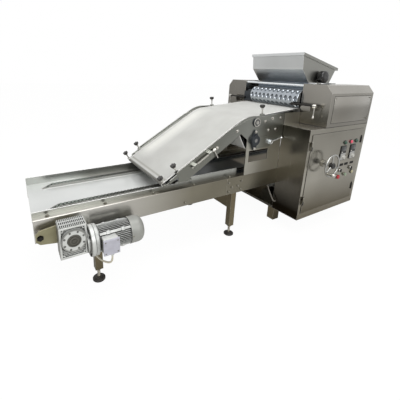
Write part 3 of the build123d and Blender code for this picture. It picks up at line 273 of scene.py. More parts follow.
def woven_canvas():
    """Cotton conveyor canvas, plain weave, off-white with flour rubbed in, and pale sealed edges; a painted
    sheen along the far side of its upper run, and painted shade where it wraps over the nose.

    The threads are drawn 3 mm apart, coarser than real, so that they show."""
    thread_m = 0.003
    edge_m = 0.007
    material, tree, shader = new_material("cotton_canvas", Roughness=0.85, Sheen_Weight=0.15)
    uv = node(tree, "ShaderNodeUVMap", uv_map="cloth").outputs["UV"]
    parts = node(tree, "ShaderNodeSeparateXYZ", {"Vector": uv}).outputs
    waves = []
    for axis in ("X", "Y"):
        turn = node(tree, "ShaderNodeMath", {0: parts[axis], 1: 2 * math.pi / thread_m}, operation="MULTIPLY")
        waves.append(node(tree, "ShaderNodeMath", {0: turn.outputs[0]}, operation="SINE").outputs[0])
    weave = node(tree, "ShaderNodeMath", {0: waves[0], 1: waves[1]}, operation="MULTIPLY").outputs[0]
    half = CLOTH_HALF * MM
    across = node(tree, "ShaderNodeMath", {0: parts["X"]}, operation="ABSOLUTE").outputs[0]
    sealed = spread(tree, across, 0.0, 1.0, half - edge_m, half - edge_m + 0.001)
    cloth = tinted(tree, blotches(tree, 180, detail=4.0), "c0c0bc", "cecfcb")
    far_side = (both_shares, (along_share, "Y", 175, 85), (along_share, "Y", 215, 255))
    upper_run = (both_shares, (along_share, "X", 1150, 1290), (along_share, "X", 790, 700))
    # Painted sheen along the far side of the upper run
    painted_sheen = both_shares(tree, far_side, upper_run)
    cloth = mixed(tree, painted_sheen, cloth, colour("ecece6"))
    # Painted shade where the cloth wraps over the nose: a grey band, then a dark edge
    nose_shade = both_shares(tree, (along_share, "X", 681, 688), (along_share, "X", 677, 672))
    cloth = mixed(tree, nose_shade, cloth, colour("a3a29b"))
    cloth = mixed(tree, along_share(tree, "X", 659, 663), cloth, colour("63625d"))
    threads = spread(tree, weave, 0.0, 0.22, 1.0, -1.0)
    cloth = mixed(tree, threads, cloth, colour("b9b6ad"))
    tree.links.new(mixed(tree, sealed, cloth, colour("f1f0ec")), shader.inputs["Base Color"])
    tree.links.new(raised(tree, weave, 0.25), shader.inputs["Normal"])
    return material


# Modelling
def clear_selection():
    bpy.ops.object.select_all(action="DESELECT")


def only(*pieces):
    """Selects these pieces and no others, the first one active."""
    clear_selection()
    for piece in pieces:
        piece.select_set(True)
    bpy.context.view_layer.objects.active = pieces[0]


def removed(*pieces):
    """Takes away what was only there to be copied or to cut with."""
    for piece in pieces:
        bpy.data.objects.remove(piece)


def edit_mode():
    bpy.ops.object.mode_set(mode="EDIT")


def object_mode():
    bpy.ops.object.mode_set(mode="OBJECT")


def extrude(move):
    """In edit mode: draws out what is selected by a move in millimetres."""
    bpy.ops.mesh.extrude_region_move(TRANSFORM_OT_translate={"value": move * MM})


def made(name):
    """The piece just added, named, with its place applied to its mesh."""
    piece = bpy.context.object
    piece.name = name
    bpy.ops.object.transform_apply(location=True, rotation=True, scale=True)
    return piece


def block(name, low, high):
    clear_selection()
    low, high = at(*low), at(*high)
    bpy.ops.mesh.primitive_cube_add(size=1, location=(low + high) / 2, scale=high - low)
    return made(name)


def turned(name, start, axis, profile, sides=32):
    """A piece turned on a lathe: from start along axis, through (distance, radius) steps in millimetres."""
    clear_selection()
    start, axis = at(*start), Vector(axis).normalized()
    distance, radius = profile[0]
    bpy.ops.mesh.primitive_circle_add(
        vertices=sides, radius=radius * MM, fill_type="NGON", location=start + axis * distance * MM,
        rotation=axis.to_track_quat("Z", "Y").to_euler())
    piece = made(name)
    edit_mode()
    for next_distance, next_radius in profile[1:]:
        extrude(axis * (next_distance - distance))
        centre = start + axis * next_distance * MM
        bpy.ops.transform.resize(value=[next_radius / radius] * 3, center_override=centre)
        distance, radius = next_distance, next_radius
    outward()
    return piece


def outward():
    """In edit mode: all faces point outwards; then back to object mode."""
    bpy.ops.mesh.select_all(action="SELECT")
    bpy.ops.mesh.normals_make_consistent(inside=False)
    object_mode()


def select_none(piece, kind):
    """Leaves nothing of a mesh selected, and sets whether faces or edges are selected next."""
    only(piece)
    edit_mode()
    bpy.ops.mesh.select_mode(type=kind)
    bpy.ops.mesh.select_all(action="DESELECT")
    object_mode()


def edit_faces(piece, chosen):
    """Enters edit mode with only the faces selected whose centre and normal pass chosen(centre, normal)."""
    select_none(piece, "FACE")
    for face in piece.data.polygons:
        face.select = chosen((face.center - ORIGIN) / MM, face.normal)
    edit_mode()


def edit_edges(piece, chosen):
    """Enters edit mode with only the edges selected whose two ends pass chosen(place)."""
    select_none(piece, "EDGE")
    points = [(vertex.co - ORIGIN) / MM for vertex in piece.data.vertices]
    for edge in piece.data.edges:
        edge.select = all(chosen(points[i]) for i in edge.vertices)
    edit_mode()


def apply_modifier(piece, kind, **settings):
    modifier = piece.modifiers.new(kind.lower(), kind)
    for key, value in settings.items():
        setattr(modifier, key, value)
    only(piece)
    bpy.ops.object.modifier_apply(modifier=modifier.name)


def ease(piece, width_mm, segments=2, angle=30):
    """Rounds the edges that turn by more than angle degrees."""
    apply_modifier(piece, "BEVEL", width=width_mm * MM, segments=segments, limit_method="ANGLE",
                   angle_limit=math.radians(angle))
    return piece


def cut(piece, cutter):
    apply_modifier(piece, "BOOLEAN", operation="DIFFERENCE", object=cutter, solver="EXACT")
    removed(cutter)


def copied(piece, move, name=None):
    """A copy with its own mesh, moved by a matrix of the scene."""
    twin = piece.copy()
    twin.data = piece.data.copy()
    twin.name = name or piece.name
    bpy.context.scene.collection.objects.link(twin)
    twin.data.transform(move)
    if move.determinant() < 0:
        twin.data.flip_normals()
    return twin


def to(x, y, z):
    """The move that takes the machine's origin to a place on its axes."""
    return Matrix.Translation(Vector((x, y, z)) * MM)


def about(x, y, z, turn):
    """A turn about a place on the machine's axes."""
    return Matrix.Translation(at(x, y, z)) @ turn @ Matrix.Translation(-at(x, y, z))


MIRROR = Matrix.Translation(ORIGIN) @ Matrix.Diagonal((1, -1, 1, 1)) @ Matrix.Translation(-ORIGIN)


def joined(name, pieces):
    only(*pieces)
    if len(pieces) > 1:
        bpy.ops.object.join()
    piece = bpy.context.object
    piece.name = name
    return piece


def finished(piece, material, slot, body="frame", stands_for=(), angle=35):
    piece.data.materials.clear()
    piece.data.materials.append(material)
    only(piece)
    bpy.ops.object.shade_smooth_by_angle(angle=math.radians(angle))
    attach(piece, body)
    if stands_for:
        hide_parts(*stands_for)
    return piece


def dress(material, *node_names):
    for name in node_names:
        nodes[name].data.materials.clear()
        nodes[name].data.materials.append(material)


# Sizes that more than one piece follows, in millimetres on the machine's axes
CHANNEL_LOW, CHANNEL_HIGH = span("side_channels")
HALF = CHANNEL_HIGH.y
CLOTH_HALF = span("extraction_belt")[1].y - 0.5
SIDE_FACE = HALF + 5
# The speed controllers stand on the door's face
DOOR_FACE = -span("speed_controllers")[1].y
INCLINE = math.radians(30.5)
HEAD_RISE = math.radians(5)
BELT_UP = Vector((-math.sin(INCLINE), 0, math.cos(INCLINE)))
CREST = (1225, 815)


def on_run(x, rise, lean):
    """A point on a run of the belt that leans through the crest, raised square to it."""
    z = CREST[1] + (x - CREST[0]) * math.tan(lean) + rise * math.cos(lean)
    return x - rise * math.sin(lean), z


def on_incline(x, rise=0.0):
    """A point on the belt's carrying line of the incline, raised square to it."""
    return on_run(x, rise, INCLINE)


def on_head_run(x, rise=0.0):
    """The same on the nearly level run beyond the crest."""
    return on_run(x, rise, HEAD_RISE)


# Tray conveyor
WEB_BOTTOM, WEB_TOP = CHANNEL_LOW.z, CHANNEL_HIGH.z
SHEET = 3.0
TOP_FLANGE, BOTTOM_FLANGE = 42.0, 30.0
FOLD_RADIUS = 5.0
SPLICE_X, CHANNEL_END = 1118.0, CHANNEL_HIGH.x
SPLICE_GAP = 0.8
DRIVE_X, DRIVE_Z = 148.0, 366.0
IDLER_X = 2140.0
SHAFT_HOLE_R = 30.0
CHAIN_Y, CHAIN_R, CHAIN_PITCH = 145.0, 54.85, 19.05


def folded_channel(name, x0, x1):
    """A web with a top and a bottom flange, folded from one sheet."""
    clear_selection()
    middle = at((x0 + x1) / 2, -HALF, (WEB_BOTTOM + WEB_TOP) / 2)
    bpy.ops.mesh.primitive_plane_add(size=1, location=middle, rotation=(math.pi / 2, 0, 0))
    piece = made(name)
    edit_mode()
    bpy.ops.transform.resize(value=((x1 - x0) * MM, 1, (WEB_TOP - WEB_BOTTOM) * MM), center_override=middle)
    object_mode()
    for z, flange in ((WEB_TOP, TOP_FLANGE), (WEB_BOTTOM, BOTTOM_FLANGE)):
        edit_edges(piece, lambda p: abs(p.z - z) < 1)
        extrude(Y * flange)
        object_mode()
    for z in (WEB_TOP, WEB_BOTTOM):
        edit_edges(piece, lambda p: abs(p.z - z) < 1 and abs(p.y + HALF) < 1)
        bpy.ops.mesh.bevel(offset=FOLD_RADIUS * MM, segments=4)
        object_mode()
    apply_modifier(piece, "SOLIDIFY", thickness=SHEET * MM, offset=-1)
    for x in (DRIVE_X, IDLER_X):
        if x0 < x < x1:
            drill = [(0, SHAFT_HOLE_R), (20, SHAFT_HOLE_R)]
            cut(piece, turned("shaft_hole", (x, -HALF - 9, DRIVE_Z), Y, drill))
    return piece


def make_channels():
    lengths = ((0.3, SPLICE_X - SPLICE_GAP / 2), (SPLICE_X + SPLICE_GAP / 2, CHANNEL_END))
    near = [folded_channel("channel", *ends) for ends in lengths]
    far = [copied(piece, MIRROR) for piece in near]
    finished(joined("folded_channels", near + far), stainless_profile, "stainless_frame",
             stands_for=["side_channels"])


BOLT_R, WASHER_R, WASHER_T = 7.6, 10.5, 1.8


def hex_bolt(name):
    """A hexagon head on its washer, at the machine's origin, pointing up."""
    washer = ease(turned(name, (0, 0, 0), Z, [(0, WASHER_R), (WASHER_T, WASHER_R)], sides=20), 0.4, 1)
    profile = [(WASHER_T, BOLT_R), (WASHER_T + 4.4, BOLT_R), (WASHER_T + 5.4, BOLT_R * 0.86)]
    return joined(name, [washer, turned(name, (0, 0, 0), Z, profile, sides=6)])


SPLICE_BOLTS = [(1132, 403), (1241, 401), (1212, 369), (1241, 340), (1160, 368), (1136, 340)]
WEB_BOLT = (801, 341)
FLANGE_BOLTS = (62, 330, 600, 870, 1150)
FLANGE_BOLT_Y = HALF - 20
# Turns a bolt that points up so that its head stands out of the near or the far face
FACES = {side: Matrix.Rotation(-side * math.pi / 2, 4, "X") for side in (NEAR, FAR)}


def stand_at(place, turn=None):
    """The move from the machine's origin to a place, turned first."""
    turn = turn or Matrix.Identity(4)
    return Matrix.Translation(at(*place)) @ turn @ Matrix.Translation(-ORIGIN)


def make_frame_bolts():
    bolt = hex_bolt("frame_bolt")
    pieces = []
    for x, z in SPLICE_BOLTS + [WEB_BOLT]:
        for side, turn in FACES.items():
            pieces.append(copied(bolt, stand_at((x, side * HALF, z), turn)))
    for x in FLANGE_BOLTS:
        for y in (-FLANGE_BOLT_Y, FLANGE_BOLT_Y):
            pieces.append(copied(bolt, stand_at((x, y, WEB_TOP))))
    removed(bolt)
    finished(joined("hex_bolts", pieces), zinc_plate, "bright_steel", stands_for=["frame_bolts"])


PLATE_HALF, PLATE_T = 8.2, 2.4
WAIST_HALF = PLATE_HALF * 0.72
LINK_SIDES = 10
INNER_PLATES, OUTER_PLATES = (-7.6, 5.2), (-10.4, 8.0)


def chain_plate(y, reach):
    """One side plate of a link: two round ends round the pins and a waist between them."""
    disc = [(0, PLATE_HALF), (PLATE_T, PLATE_HALF)]
    ends = [turned("plate", (x, y, 0), Y, disc, sides=LINK_SIDES) for x in (-reach, reach)]
    return ends + [block("plate", (-reach, y + 0.1, -WAIST_HALF), (reach, y + PLATE_T - 0.1, WAIST_HALF))]


def make_chains():
    reach = CHAIN_PITCH / 2
    inner = [part for y in INNER_PLATES for part in chain_plate(y, reach)]
    outer = [part for y in OUTER_PLATES for part in chain_plate(y, reach)]
    for x in (-reach, reach):
        inner.append(turned("roller", (x, -5.2, 0), Y, [(0, 6.0), (10.4, 6.0)], sides=LINK_SIDES))
        outer.append(turned("pin", (x, -11, 0), Y, [(0, 2.6), (22, 2.6)], sides=6))
    links = [joined("inner_link", inner), joined("outer_link", outer)]
    run = IDLER_X - DRIVE_X
    loop = 2 * run + 2 * math.pi * CHAIN_R
    count = 2 * round(loop / CHAIN_PITCH / 2)
    pieces = []
    for y in (-CHAIN_Y, CHAIN_Y):
        for i in range(count):
            x, z, lean = chain_place(loop * i / count, run)
            turn = Matrix.Rotation(lean, 4, "Y")
            pieces.append(copied(links[i % 2], stand_at((x, y, z), turn)))
    removed(*links)
    finished(joined("roller_chains", pieces), oiled_chain, "chain_steel", stands_for=["tray_chains"])


def chain_place(travel, run):
    """Place and lean of a link that has gone travel along the loop from the drive sprocket's top."""
    arc = math.pi * CHAIN_R
    if travel < run:
        return DRIVE_X + travel, DRIVE_Z + CHAIN_R, 0.0
    if travel < run + arc:
        lean = (travel - run) / CHAIN_R
        return IDLER_X + CHAIN_R * math.sin(lean), DRIVE_Z + CHAIN_R * math.cos(lean), lean
    if travel < 2 * run + arc:
        return IDLER_X - (travel - run - arc), DRIVE_Z - CHAIN_R, math.pi
    lean = (travel - 2 * run - arc) / CHAIN_R
    return DRIVE_X - CHAIN_R * math.sin(lean), DRIVE_Z - CHAIN_R * math.cos(lean), math.pi + lean


LEG_X = (280, 1188)
LEG_Y = 257
LEG_BOTTOM = 72
STEM_RIDGES = 12


def make_feet():
    pad_profile = [(0, 31), (2, 33), (9, 33), (11.5, 31), (14, 24), (17, 14), (19, 12)]
    stem_profile = [(16, 10), (22, 10), (22, 8)]
    for ridge in range(STEM_RIDGES):
        stem_profile += [(23 + 3 * ridge, 8), (24.5 + 3 * ridge, 7.2)]
    stem_profile += [(LEG_BOTTOM + 20, 7.2)]
    nut_profile = [(60, 11.5), (61, 13), (71, 13), (LEG_BOTTOM, 11.5)]
    pads, stems = [], []
    for x in LEG_X:
        for y in (-LEG_Y, LEG_Y):
            pads.append(turned("pad", (x, y, 0), Z, pad_profile, sides=40))
            stems.append(turned("stem", (x, y, 0), Z, stem_profile, sides=20))
            stems.append(turned("nut", (x, y, 0), Z, nut_profile, sides=6))
    finished(joined("foot_pads", pads), foot_rubber, "foot_rubber", stands_for=["levelling_feet"])
    finished(joined("foot_stems", stems), dull_steel, "bright_steel")


# Tray drive
GEARBOX_LOW, GEARBOX_HIGH = Vector((88, -400, 280)), Vector((205, -320, 438))
ANCHOR_X = 22.0
MOTOR_Y, MOTOR_Z = -360.0, 316.0
FLANGE_R = 75.0
GEARBOX_FLANGE = (217.0, 237.0)
MOTOR_BODY = (259.0, 409.0)
COWL_R = 67.0
COWL_SCREWS = (60, 180, 300)
RING_R = 53.0
RECESS_RIBS, TOP_FINS = 16, 15
RING_SCREWS, RING_SCREW_R = 8, 43
FLANGE_SCREW_R = 66
CORNERS = (45, 135, 225, 315)


def make_gearbox():
    low, high = GEARBOX_LOW, GEARBOX_HIGH
    casting = block("casting", low, high - Z * 5)
    edit_faces(casting, lambda c, n: n.y < -0.9)
    bpy.ops.mesh.inset(thickness=10 * MM)
    extrude(Y * 8)
    object_mode()
    parts = [ease(casting, 2.5, 3)]
    parts.append(turned("boss", (DRIVE_X, low.y + 9, DRIVE_Z), -Y, [(0, 57), (7, 55), (9, RING_R)], sides=48))
    for i in range(RECESS_RIBS):
        z = low.z + 15 + i * (high.z - low.z - 35) / (RECESS_RIBS - 1)
        rib = block("rib", (low.x + 9, low.y + 4.5, z - 1.4), (high.x - 9, low.y + 9, z + 1.4))
        parts.append(ease(rib, 0.6, 1))
    for i in range(TOP_FINS):
        x = low.x + 5 + i * (high.x - low.x - 10) / (TOP_FINS - 1)
        fin = block("fin", (x - 1.8, low.y + 1, high.z - 9), (x + 1.8, high.y - 1, high.z))
        parts.append(ease(fin, 0.7, 1))
    for y in (low.y + 22, high.y - 30):
        bar = block("cross_bar", (low.x + 3, y, high.z - 8), (high.x - 3, y + 8, high.z - 0.5))
        parts.append(ease(bar, 1.0, 2))
    boss = [(0, 9), (7, 8), (8, 7), (8, 3.4), (2, 3)]
    for x in (low.x + 13, high.x - 13):
        for z in (low.z + 13, high.z - 18):
            parts.append(turned("corner_boss", (x, low.y + 9, z), -Y, boss, sides=20))
    neck = [(0, 52), (12, 52), (12, FLANGE_R - 3), (15, FLANGE_R), (30, FLANGE_R), (32, FLANGE_R - 2)]
    parts.append(turned("neck", (high.x, MOTOR_Y, MOTOR_Z), X, neck, sides=56))
    finished(joined("gearbox_casting", parts), cast_silver, "cast_silver", stands_for=["gearbox_housing"])

    ring_face = low.y - 8
    ring_screw = [(-1, 4), (1.2, 4), (1.2, 2.2), (-0.4, 2.0)]
    flange_screw = [(-1, 7.5), (4, 7.5), (5, 6.5)]
    screws = []
    for i in range(RING_SCREWS):
        turn = 2 * math.pi * (i + 0.5) / RING_SCREWS
        x, z = DRIVE_X + RING_SCREW_R * math.cos(turn), DRIVE_Z + RING_SCREW_R * math.sin(turn)
        screws.append(turned("screw", (x, ring_face, z), -Y, ring_screw, sides=12))
    for corner in CORNERS:
        turn = math.radians(corner)
        y, z = MOTOR_Y + FLANGE_SCREW_R * math.cos(turn), MOTOR_Z + FLANGE_SCREW_R * math.sin(turn)
        screws.append(turned("screw", (GEARBOX_FLANGE[0], y, z), -X, flange_screw, sides=6))
    finished(joined("gearbox_screws", screws), black_oxide, "dark_iron")

    cap = [(0, 28.4), (1.2, 28.4), (1.8, 27.6), (1.8, 24), (0.6, 23.4), (0.6, 20), (2.4, 19.4), (2.4, 13),
           (1.0, 12.4), (1.0, 8), (3.0, 7.4), (3.4, 4), (2.2, 2.5)]
    hub_end = span("tray_drive")[0].y
    hub = turned("hub_cap", (DRIVE_X, hub_end, DRIVE_Z), -Y, cap, sides=48)
    finished(hub, hub_steel, "dark_iron", body="tray_drive")

    bush = [(0, 15), (1, 16), (31, 16), (32, 15)]
    finished(turned("anchor_bush", (ANCHOR_X, -312, DRIVE_Z), Y, bush, sides=32), dull_steel, "bright_steel")
    head = [(0, 15), (2, 15), (2, 11.5), (8, 11.5), (9, 10)]
    finished(turned("anchor_head", (ANCHOR_X, -320, DRIVE_Z), -Y, head, sides=6), black_oxide, "dark_iron")


def finned_barrel(name, start, length, core_r, fin_r, fins, fin_t):
    """A motor barrel along +X: a core, fins all round, and four thicker corner ribs with two lugs each."""
    x, y, z = start
    foot = z + core_r - 4
    parts = [turned(name, start, X, [(0, core_r), (length, core_r)], sides=48)]
    fin = ease(block("fin", (x, y - fin_t / 2, foot), (x + length, y + fin_t / 2, z + fin_r)), 0.8, 1)
    rib = ease(block("rib", (x - 1, y - 6.5, foot), (x + length + 1, y + 6.5, z + fin_r + 2)), 1.5, 2)
    for i in range(fins):
        parts.append(copied(fin, about(x, y, z, Matrix.Rotation(2 * math.pi * i / fins, 4, "X"))))
    corner_pieces = [rib]
    for place in (x + 0.26 * length, x + 0.74 * length):
        lug = block("lug", (place - 8, y - 9, foot), (place + 8, y + 9, z + fin_r + 4))
        corner_pieces.append(ease(lug, 1.5, 2))
    for corner in CORNERS:
        turn = about(x, y, z, Matrix.Rotation(math.radians(corner), 4, "X"))
        parts += [copied(piece, turn) for piece in corner_pieces]
    removed(fin, *corner_pieces)
    return joined(name, parts)


BOX_LOW, BOX_HIGH = Vector((259, -466, 283)), Vector((333, -427, 358))
LID_Y = -456.0
GLAND = (303, -441.5)


def make_motor():
    flange = [(0, FLANGE_R - 1.5), (1.5, FLANGE_R), (14, FLANGE_R), (16, FLANGE_R - 2), (16, 62), (22, 60)]
    end_ring = [(0, 58), (3, 63), (12, 64)]
    start, end = MOTOR_BODY
    parts = [
        finned_barrel("barrel", (start, MOTOR_Y, MOTOR_Z), end - start, 52, 63, 44, 2.4),
        turned("flange", (GEARBOX_FLANGE[1], MOTOR_Y, MOTOR_Z), X, flange, sides=56),
        turned("end_ring", (end, MOTOR_Y, MOTOR_Z), X, end_ring, sides=48),
        ease(block("pad", (263, BOX_HIGH.y - 1, 287), (329, -405, 354)), 3, 2),
    ]
    finished(joined("motor_barrel", parts), cast_grey, "cast_silver", stands_for=["motor_body"])

    low, high = BOX_LOW, BOX_HIGH
    body = block("box_body", (low.x + 1, LID_Y, low.z + 1), (high.x - 1, high.y, high.z - 1))
    gland = [(0, 11), (5, 11), (5, 10), (12, 10), (12, 9.2), (20, 8.2), (24, 6.0)]
    stem = turned("gland", (*GLAND, low.z + 1), -Z, gland, sides=6)
    finished(joined("terminal_body", [ease(body, 6, 4), stem]), cast_silver, "cast_silver",
             stands_for=["terminal_box"])

    lid = block("lid", low, (high.x, LID_Y, high.z))
    edit_faces(lid, lambda c, n: n.y < -0.9)
    bpy.ops.mesh.inset(thickness=5 * MM)
    extrude(Y * 1.2)
    object_mode()
    finished(ease(lid, 4.0, 4, angle=60), lid_plastic, "lid_grey")
    screws = []
    lid_screw = [(0, 3.2), (0.9, 3.2), (1.5, 2.4)]
    for x in (low.x + 9, high.x - 9):
        for z in (low.z + 9, high.z - 9):
            screws.append(turned("lid_screw", (x, low.y + 1.2, z), -Y, lid_screw, sides=12))
    for corner in COWL_SCREWS:
        turn = math.radians(corner)
        out = Vector((0, math.cos(turn), math.sin(turn)))
        place = Vector((end + 7, MOTOR_Y, MOTOR_Z)) + out * (COWL_R - 1)
        screws.append(turned("cowl_screw", place, out, [(0, 4), (2.2, 4), (3, 3)], sides=12))
    finished(joined("motor_screws", screws), zinc_plate, "bright_steel")


MAIN_MOTOR_X = (1850.0, 2100.0)
MAIN_MOTOR_Z, PAN_TOP = 204.0, 120.0


def make_main_motor():
    x0, x1 = MAIN_MOTOR_X
    flange = [(0, 70), (4, 72), (16, 72), (18, 66), (40, 62)]
    cowl = [(0, 70), (2, 72), (40, 72), (52, 66), (58, 50), (58, 20)]
    parts = [
        finned_barrel("barrel", (x0 + 20, 0, MAIN_MOTOR_Z), x1 - x0 - 80, 58, 70, 40, 2.6),
        turned("flange", (x0, 0, MAIN_MOTOR_Z), X, flange, sides=48),
        turned("cowl", (x1 - 60, 0, MAIN_MOTOR_Z), X, cowl, sides=48),
        ease(block("foot", (x0 + 50, -80, PAN_TOP), (x1 - 90, 80, PAN_TOP + 12)), 2, 2),
        ease(block("web", (x0 + 60, -46, PAN_TOP + 10), (x1 - 100, 46, MAIN_MOTOR_Z - 40)), 4, 2),
    ]
    finished(joined("main_drive_motor", parts), cast_grey, "cast_silver", stands_for=["main_motor"])


# Extraction belt and its frame
NOSE = (663.8, 471.3)
BELT_T, RUN_GAP = 3.0, 0.3
BELT_COLUMNS = 40
# Folds of the slack cloth: height, place and reach up the incline, skew, place and reach across
BELT_FOLDS = [
    (4.5, 95, 55, 0.0, 130, 120),
    (3.5, 248, 42, 0.55, 90, 150),
    (2.2, 400, 130, 0.0, 10, 190),
]
CREST_R = 225.0
NOSE_R, ROLLER_R, SNUB_R = 8.0, 70.0, 24.0
PRESSURE = (1772.0, 789.28)
RETURN_ROLLER = (1313.0, 673.0)
SNUB = (1165.0, 731.0)
CREST_ROLLER = (1319.0, 789.8)


def crest_bend():
    """The bend over the crest: its length from the crest, its start on the incline and its centre."""
    tangent = CREST_R * math.tan((INCLINE - HEAD_RISE) / 2)
    start_x = CREST[0] - tangent * math.cos(INCLINE)
    return tangent, on_incline(start_x), on_incline(start_x, -CREST_R)


def belt_rounds(lift):
    """What the belt goes round: centre, radius at the belt's given lift, and the way it turns."""
    return [
        (NOSE, NOSE_R + RUN_GAP + lift, 1),
        (crest_bend()[-1], CREST_R - BELT_T + lift, 1),
        (PRESSURE, ROLLER_R + RUN_GAP + lift, 1),
        (RETURN_ROLLER, ROLLER_R + RUN_GAP + lift, 1),
        (SNUB, SNUB_R + RUN_GAP + BELT_T - lift, -1),
    ]


def belt_line(lift, step_mm=12.0, arc_degrees=5.0):
    """Points (x, z) and outward directions along the closed belt, from straight runs and arcs."""
    rounds = belt_rounds(lift)
    leaving = []
    for (centre_a, radius_a, way_a), (centre_b, radius_b, way_b) in zip(rounds, rounds[1:] + rounds[:1]):
        across = (centre_b[0] - centre_a[0], centre_b[1] - centre_a[1])
        lean = math.acos((way_a * radius_a - way_b * radius_b) / math.hypot(*across))
        leaving.append(math.atan2(across[1], across[0]) + lean)
    points = []
    for i, (centre, radius, way) in enumerate(rounds):
        sweep = (way * (leaving[i - 1] - leaving[i])) % (2 * math.pi)
        steps = max(3, math.ceil(math.degrees(sweep) / arc_degrees))
        for step in range(steps + 1):
            turn = leaving[i - 1] - way * sweep * step / steps
            out = (math.cos(turn), math.sin(turn))
            points.append((centre[0] + way * radius * out[0], centre[1] + way * radius * out[1], *out))
        next_centre, next_radius, next_way = rounds[(i + 1) % len(rounds)]
        out = (math.cos(leaving[i]), math.sin(leaving[i]))
        end = [c + next_way * next_radius * o for c, o in zip(next_centre, out)]
        start = points[-1][:2]
        steps = max(1, round(math.dist(start, end) / step_mm))
        for step in range(1, steps):
            share = step / steps
            points.append((*(a + share * (b - a) for a, b in zip(start, end)), *out))
    return points


def belt_wave(x, y):
    """How far the slack cloth stands off the incline, in millimetres."""
    up = (x - NOSE[0]) / math.cos(INCLINE)
    rise = 0.0
    for height, fold_up, reach_up, skew, fold_y, reach_y in BELT_FOLDS:
        off_up, off_y = (up - fold_up + skew * y) / reach_up, (y - fold_y) / reach_y
        rise += height * math.exp(-off_up ** 2 - off_y ** 2)
    # The cloth lies close at the nose and again before the crest
    fade = min(1, max(0, (up - 12) / 40)) * min(1, max(0, (560 - up) / 120))
    return rise * fade


def make_belt():
    line = belt_line(BELT_T / 2)
    travel = [0.0]
    for a, b in zip(line, line[1:] + line[:1]):
        travel.append(travel[-1] + math.dist(a[:2], b[:2]))
    half = CLOTH_HALF
    columns = BELT_COLUMNS
    vertices, faces, cloth = [], [], []
    for x, z, out_x, out_z in line:
        for column in range(columns + 1):
            y = half * (2 * column / columns - 1)
            wave = belt_wave(x, y) if out_z > 0.8 else 0.0
            vertices.append(at(x + out_x * wave, y, z + out_z * wave))
    for row in range(len(line)):
        for column in range(columns):
            corners = [(row, column), (row, column + 1), (row + 1, column + 1), (row + 1, column)]
            faces.append([(r % len(line)) * (columns + 1) + c for r, c in corners])
            cloth += [(half * (2 * c / columns - 1) * MM, travel[r] * MM) for r, c in corners]
    mesh = bpy.data.meshes.new("canvas_belt")
    mesh.from_pydata(vertices, [], faces)
    uv = mesh.uv_layers.new(name="cloth")
    for corner, place in zip(uv.data, cloth):
        corner.uv = place
    belt = bpy.data.objects.new("canvas_belt", mesh)
    bpy.context.scene.collection.objects.link(belt)
    only(belt)
    edit_mode()
    outward()
    apply_modifier(belt, "SOLIDIFY", thickness=BELT_T * MM, offset=0)
    finished(belt, canvas, "canvas", stands_for=["extraction_belt"], angle=50)


STEM_Y = HALF - 11
KNOB_R, KNOB_HEIGHT, KNOB_DEPTH = 17.0, 20.0, 13.0
KNOB_LOBES = 5


def star_knob():
    """A five-lobed hand knob at the machine's origin, its foot on z = 0, pointing up."""
    clear_selection()
    middle = at(0, 0, KNOB_HEIGHT - KNOB_DEPTH / 2)
    bpy.ops.mesh.primitive_cylinder_add(
        vertices=4 * KNOB_LOBES, radius=KNOB_R * MM, depth=KNOB_DEPTH * MM, location=middle)
    knob = made("star_knob")
    step = math.pi / KNOB_LOBES
    edit_edges(knob, lambda p: abs((math.atan2(p.y, p.x) / step) % 2 - 1) < 0.3)
    bpy.ops.transform.resize(value=(0.66, 0.66, 1), center_override=middle)
    object_mode()
    edit_faces(knob, lambda c, n: n.z < -0.9)
    extrude(-Z * (KNOB_HEIGHT - KNOB_DEPTH))
    bpy.ops.transform.resize(value=(0.5, 0.5, 1), center_override=at(0, 0, 0))
    object_mode()
    edit_faces(knob, lambda c, n: n.z > 0.9)
    bpy.ops.mesh.inset(thickness=4 * MM)
    bpy.ops.transform.translate(value=Z * 1.2 * MM)
    object_mode()
    ease(knob, 1.6, 2, angle=25)
    apply_modifier(knob, "SUBSURF", levels=1, render_levels=1)
    return knob


def make_hand_screws():
    knob = star_knob()
    tilt_incline = Matrix.Rotation(-INCLINE, 4, "Y")
    tilt_head = Matrix.Rotation(-HEAD_RISE, 4, "Y")
    screws = [
        ("edge_knob", on_incline(745), tilt_incline, 44),
        ("nose_knob", NOSE, tilt_incline, 44),
        ("crest_knob", on_head_run(1380), tilt_head, 50),
    ]
    for name, (x, z), tilt, rise in screws:
        for side, word in SIDES:
            node_name = f"{name}_{word}"
            place = stand_at((x, side * STEM_Y, z), tilt)
            grip = copied(knob, place @ to(0, 0, rise), f"{node_name}_grip")
            finished(grip, phenolic, "black_plastic", body=node_name, stands_for=[node_name])
            stem = [(-3, 3.9), (rise - 9, 3.9), (rise - 9, 6.5), (rise - 3, 6.5), (rise - 3, 5),
                    (rise + 2, 5)]
            rod = turned("stem", (0, 0, 0), Z, stem, sides=20)
            finished(copied(rod, place, f"{node_name}_stem"), bright_steel, "bright_steel", body=node_name)
            removed(rod)
    removed(knob)


SCREW_X = (826.0, 972.0)
SCREW_Y = SIDE_FACE + 12
SCREW_DROP = 19.0


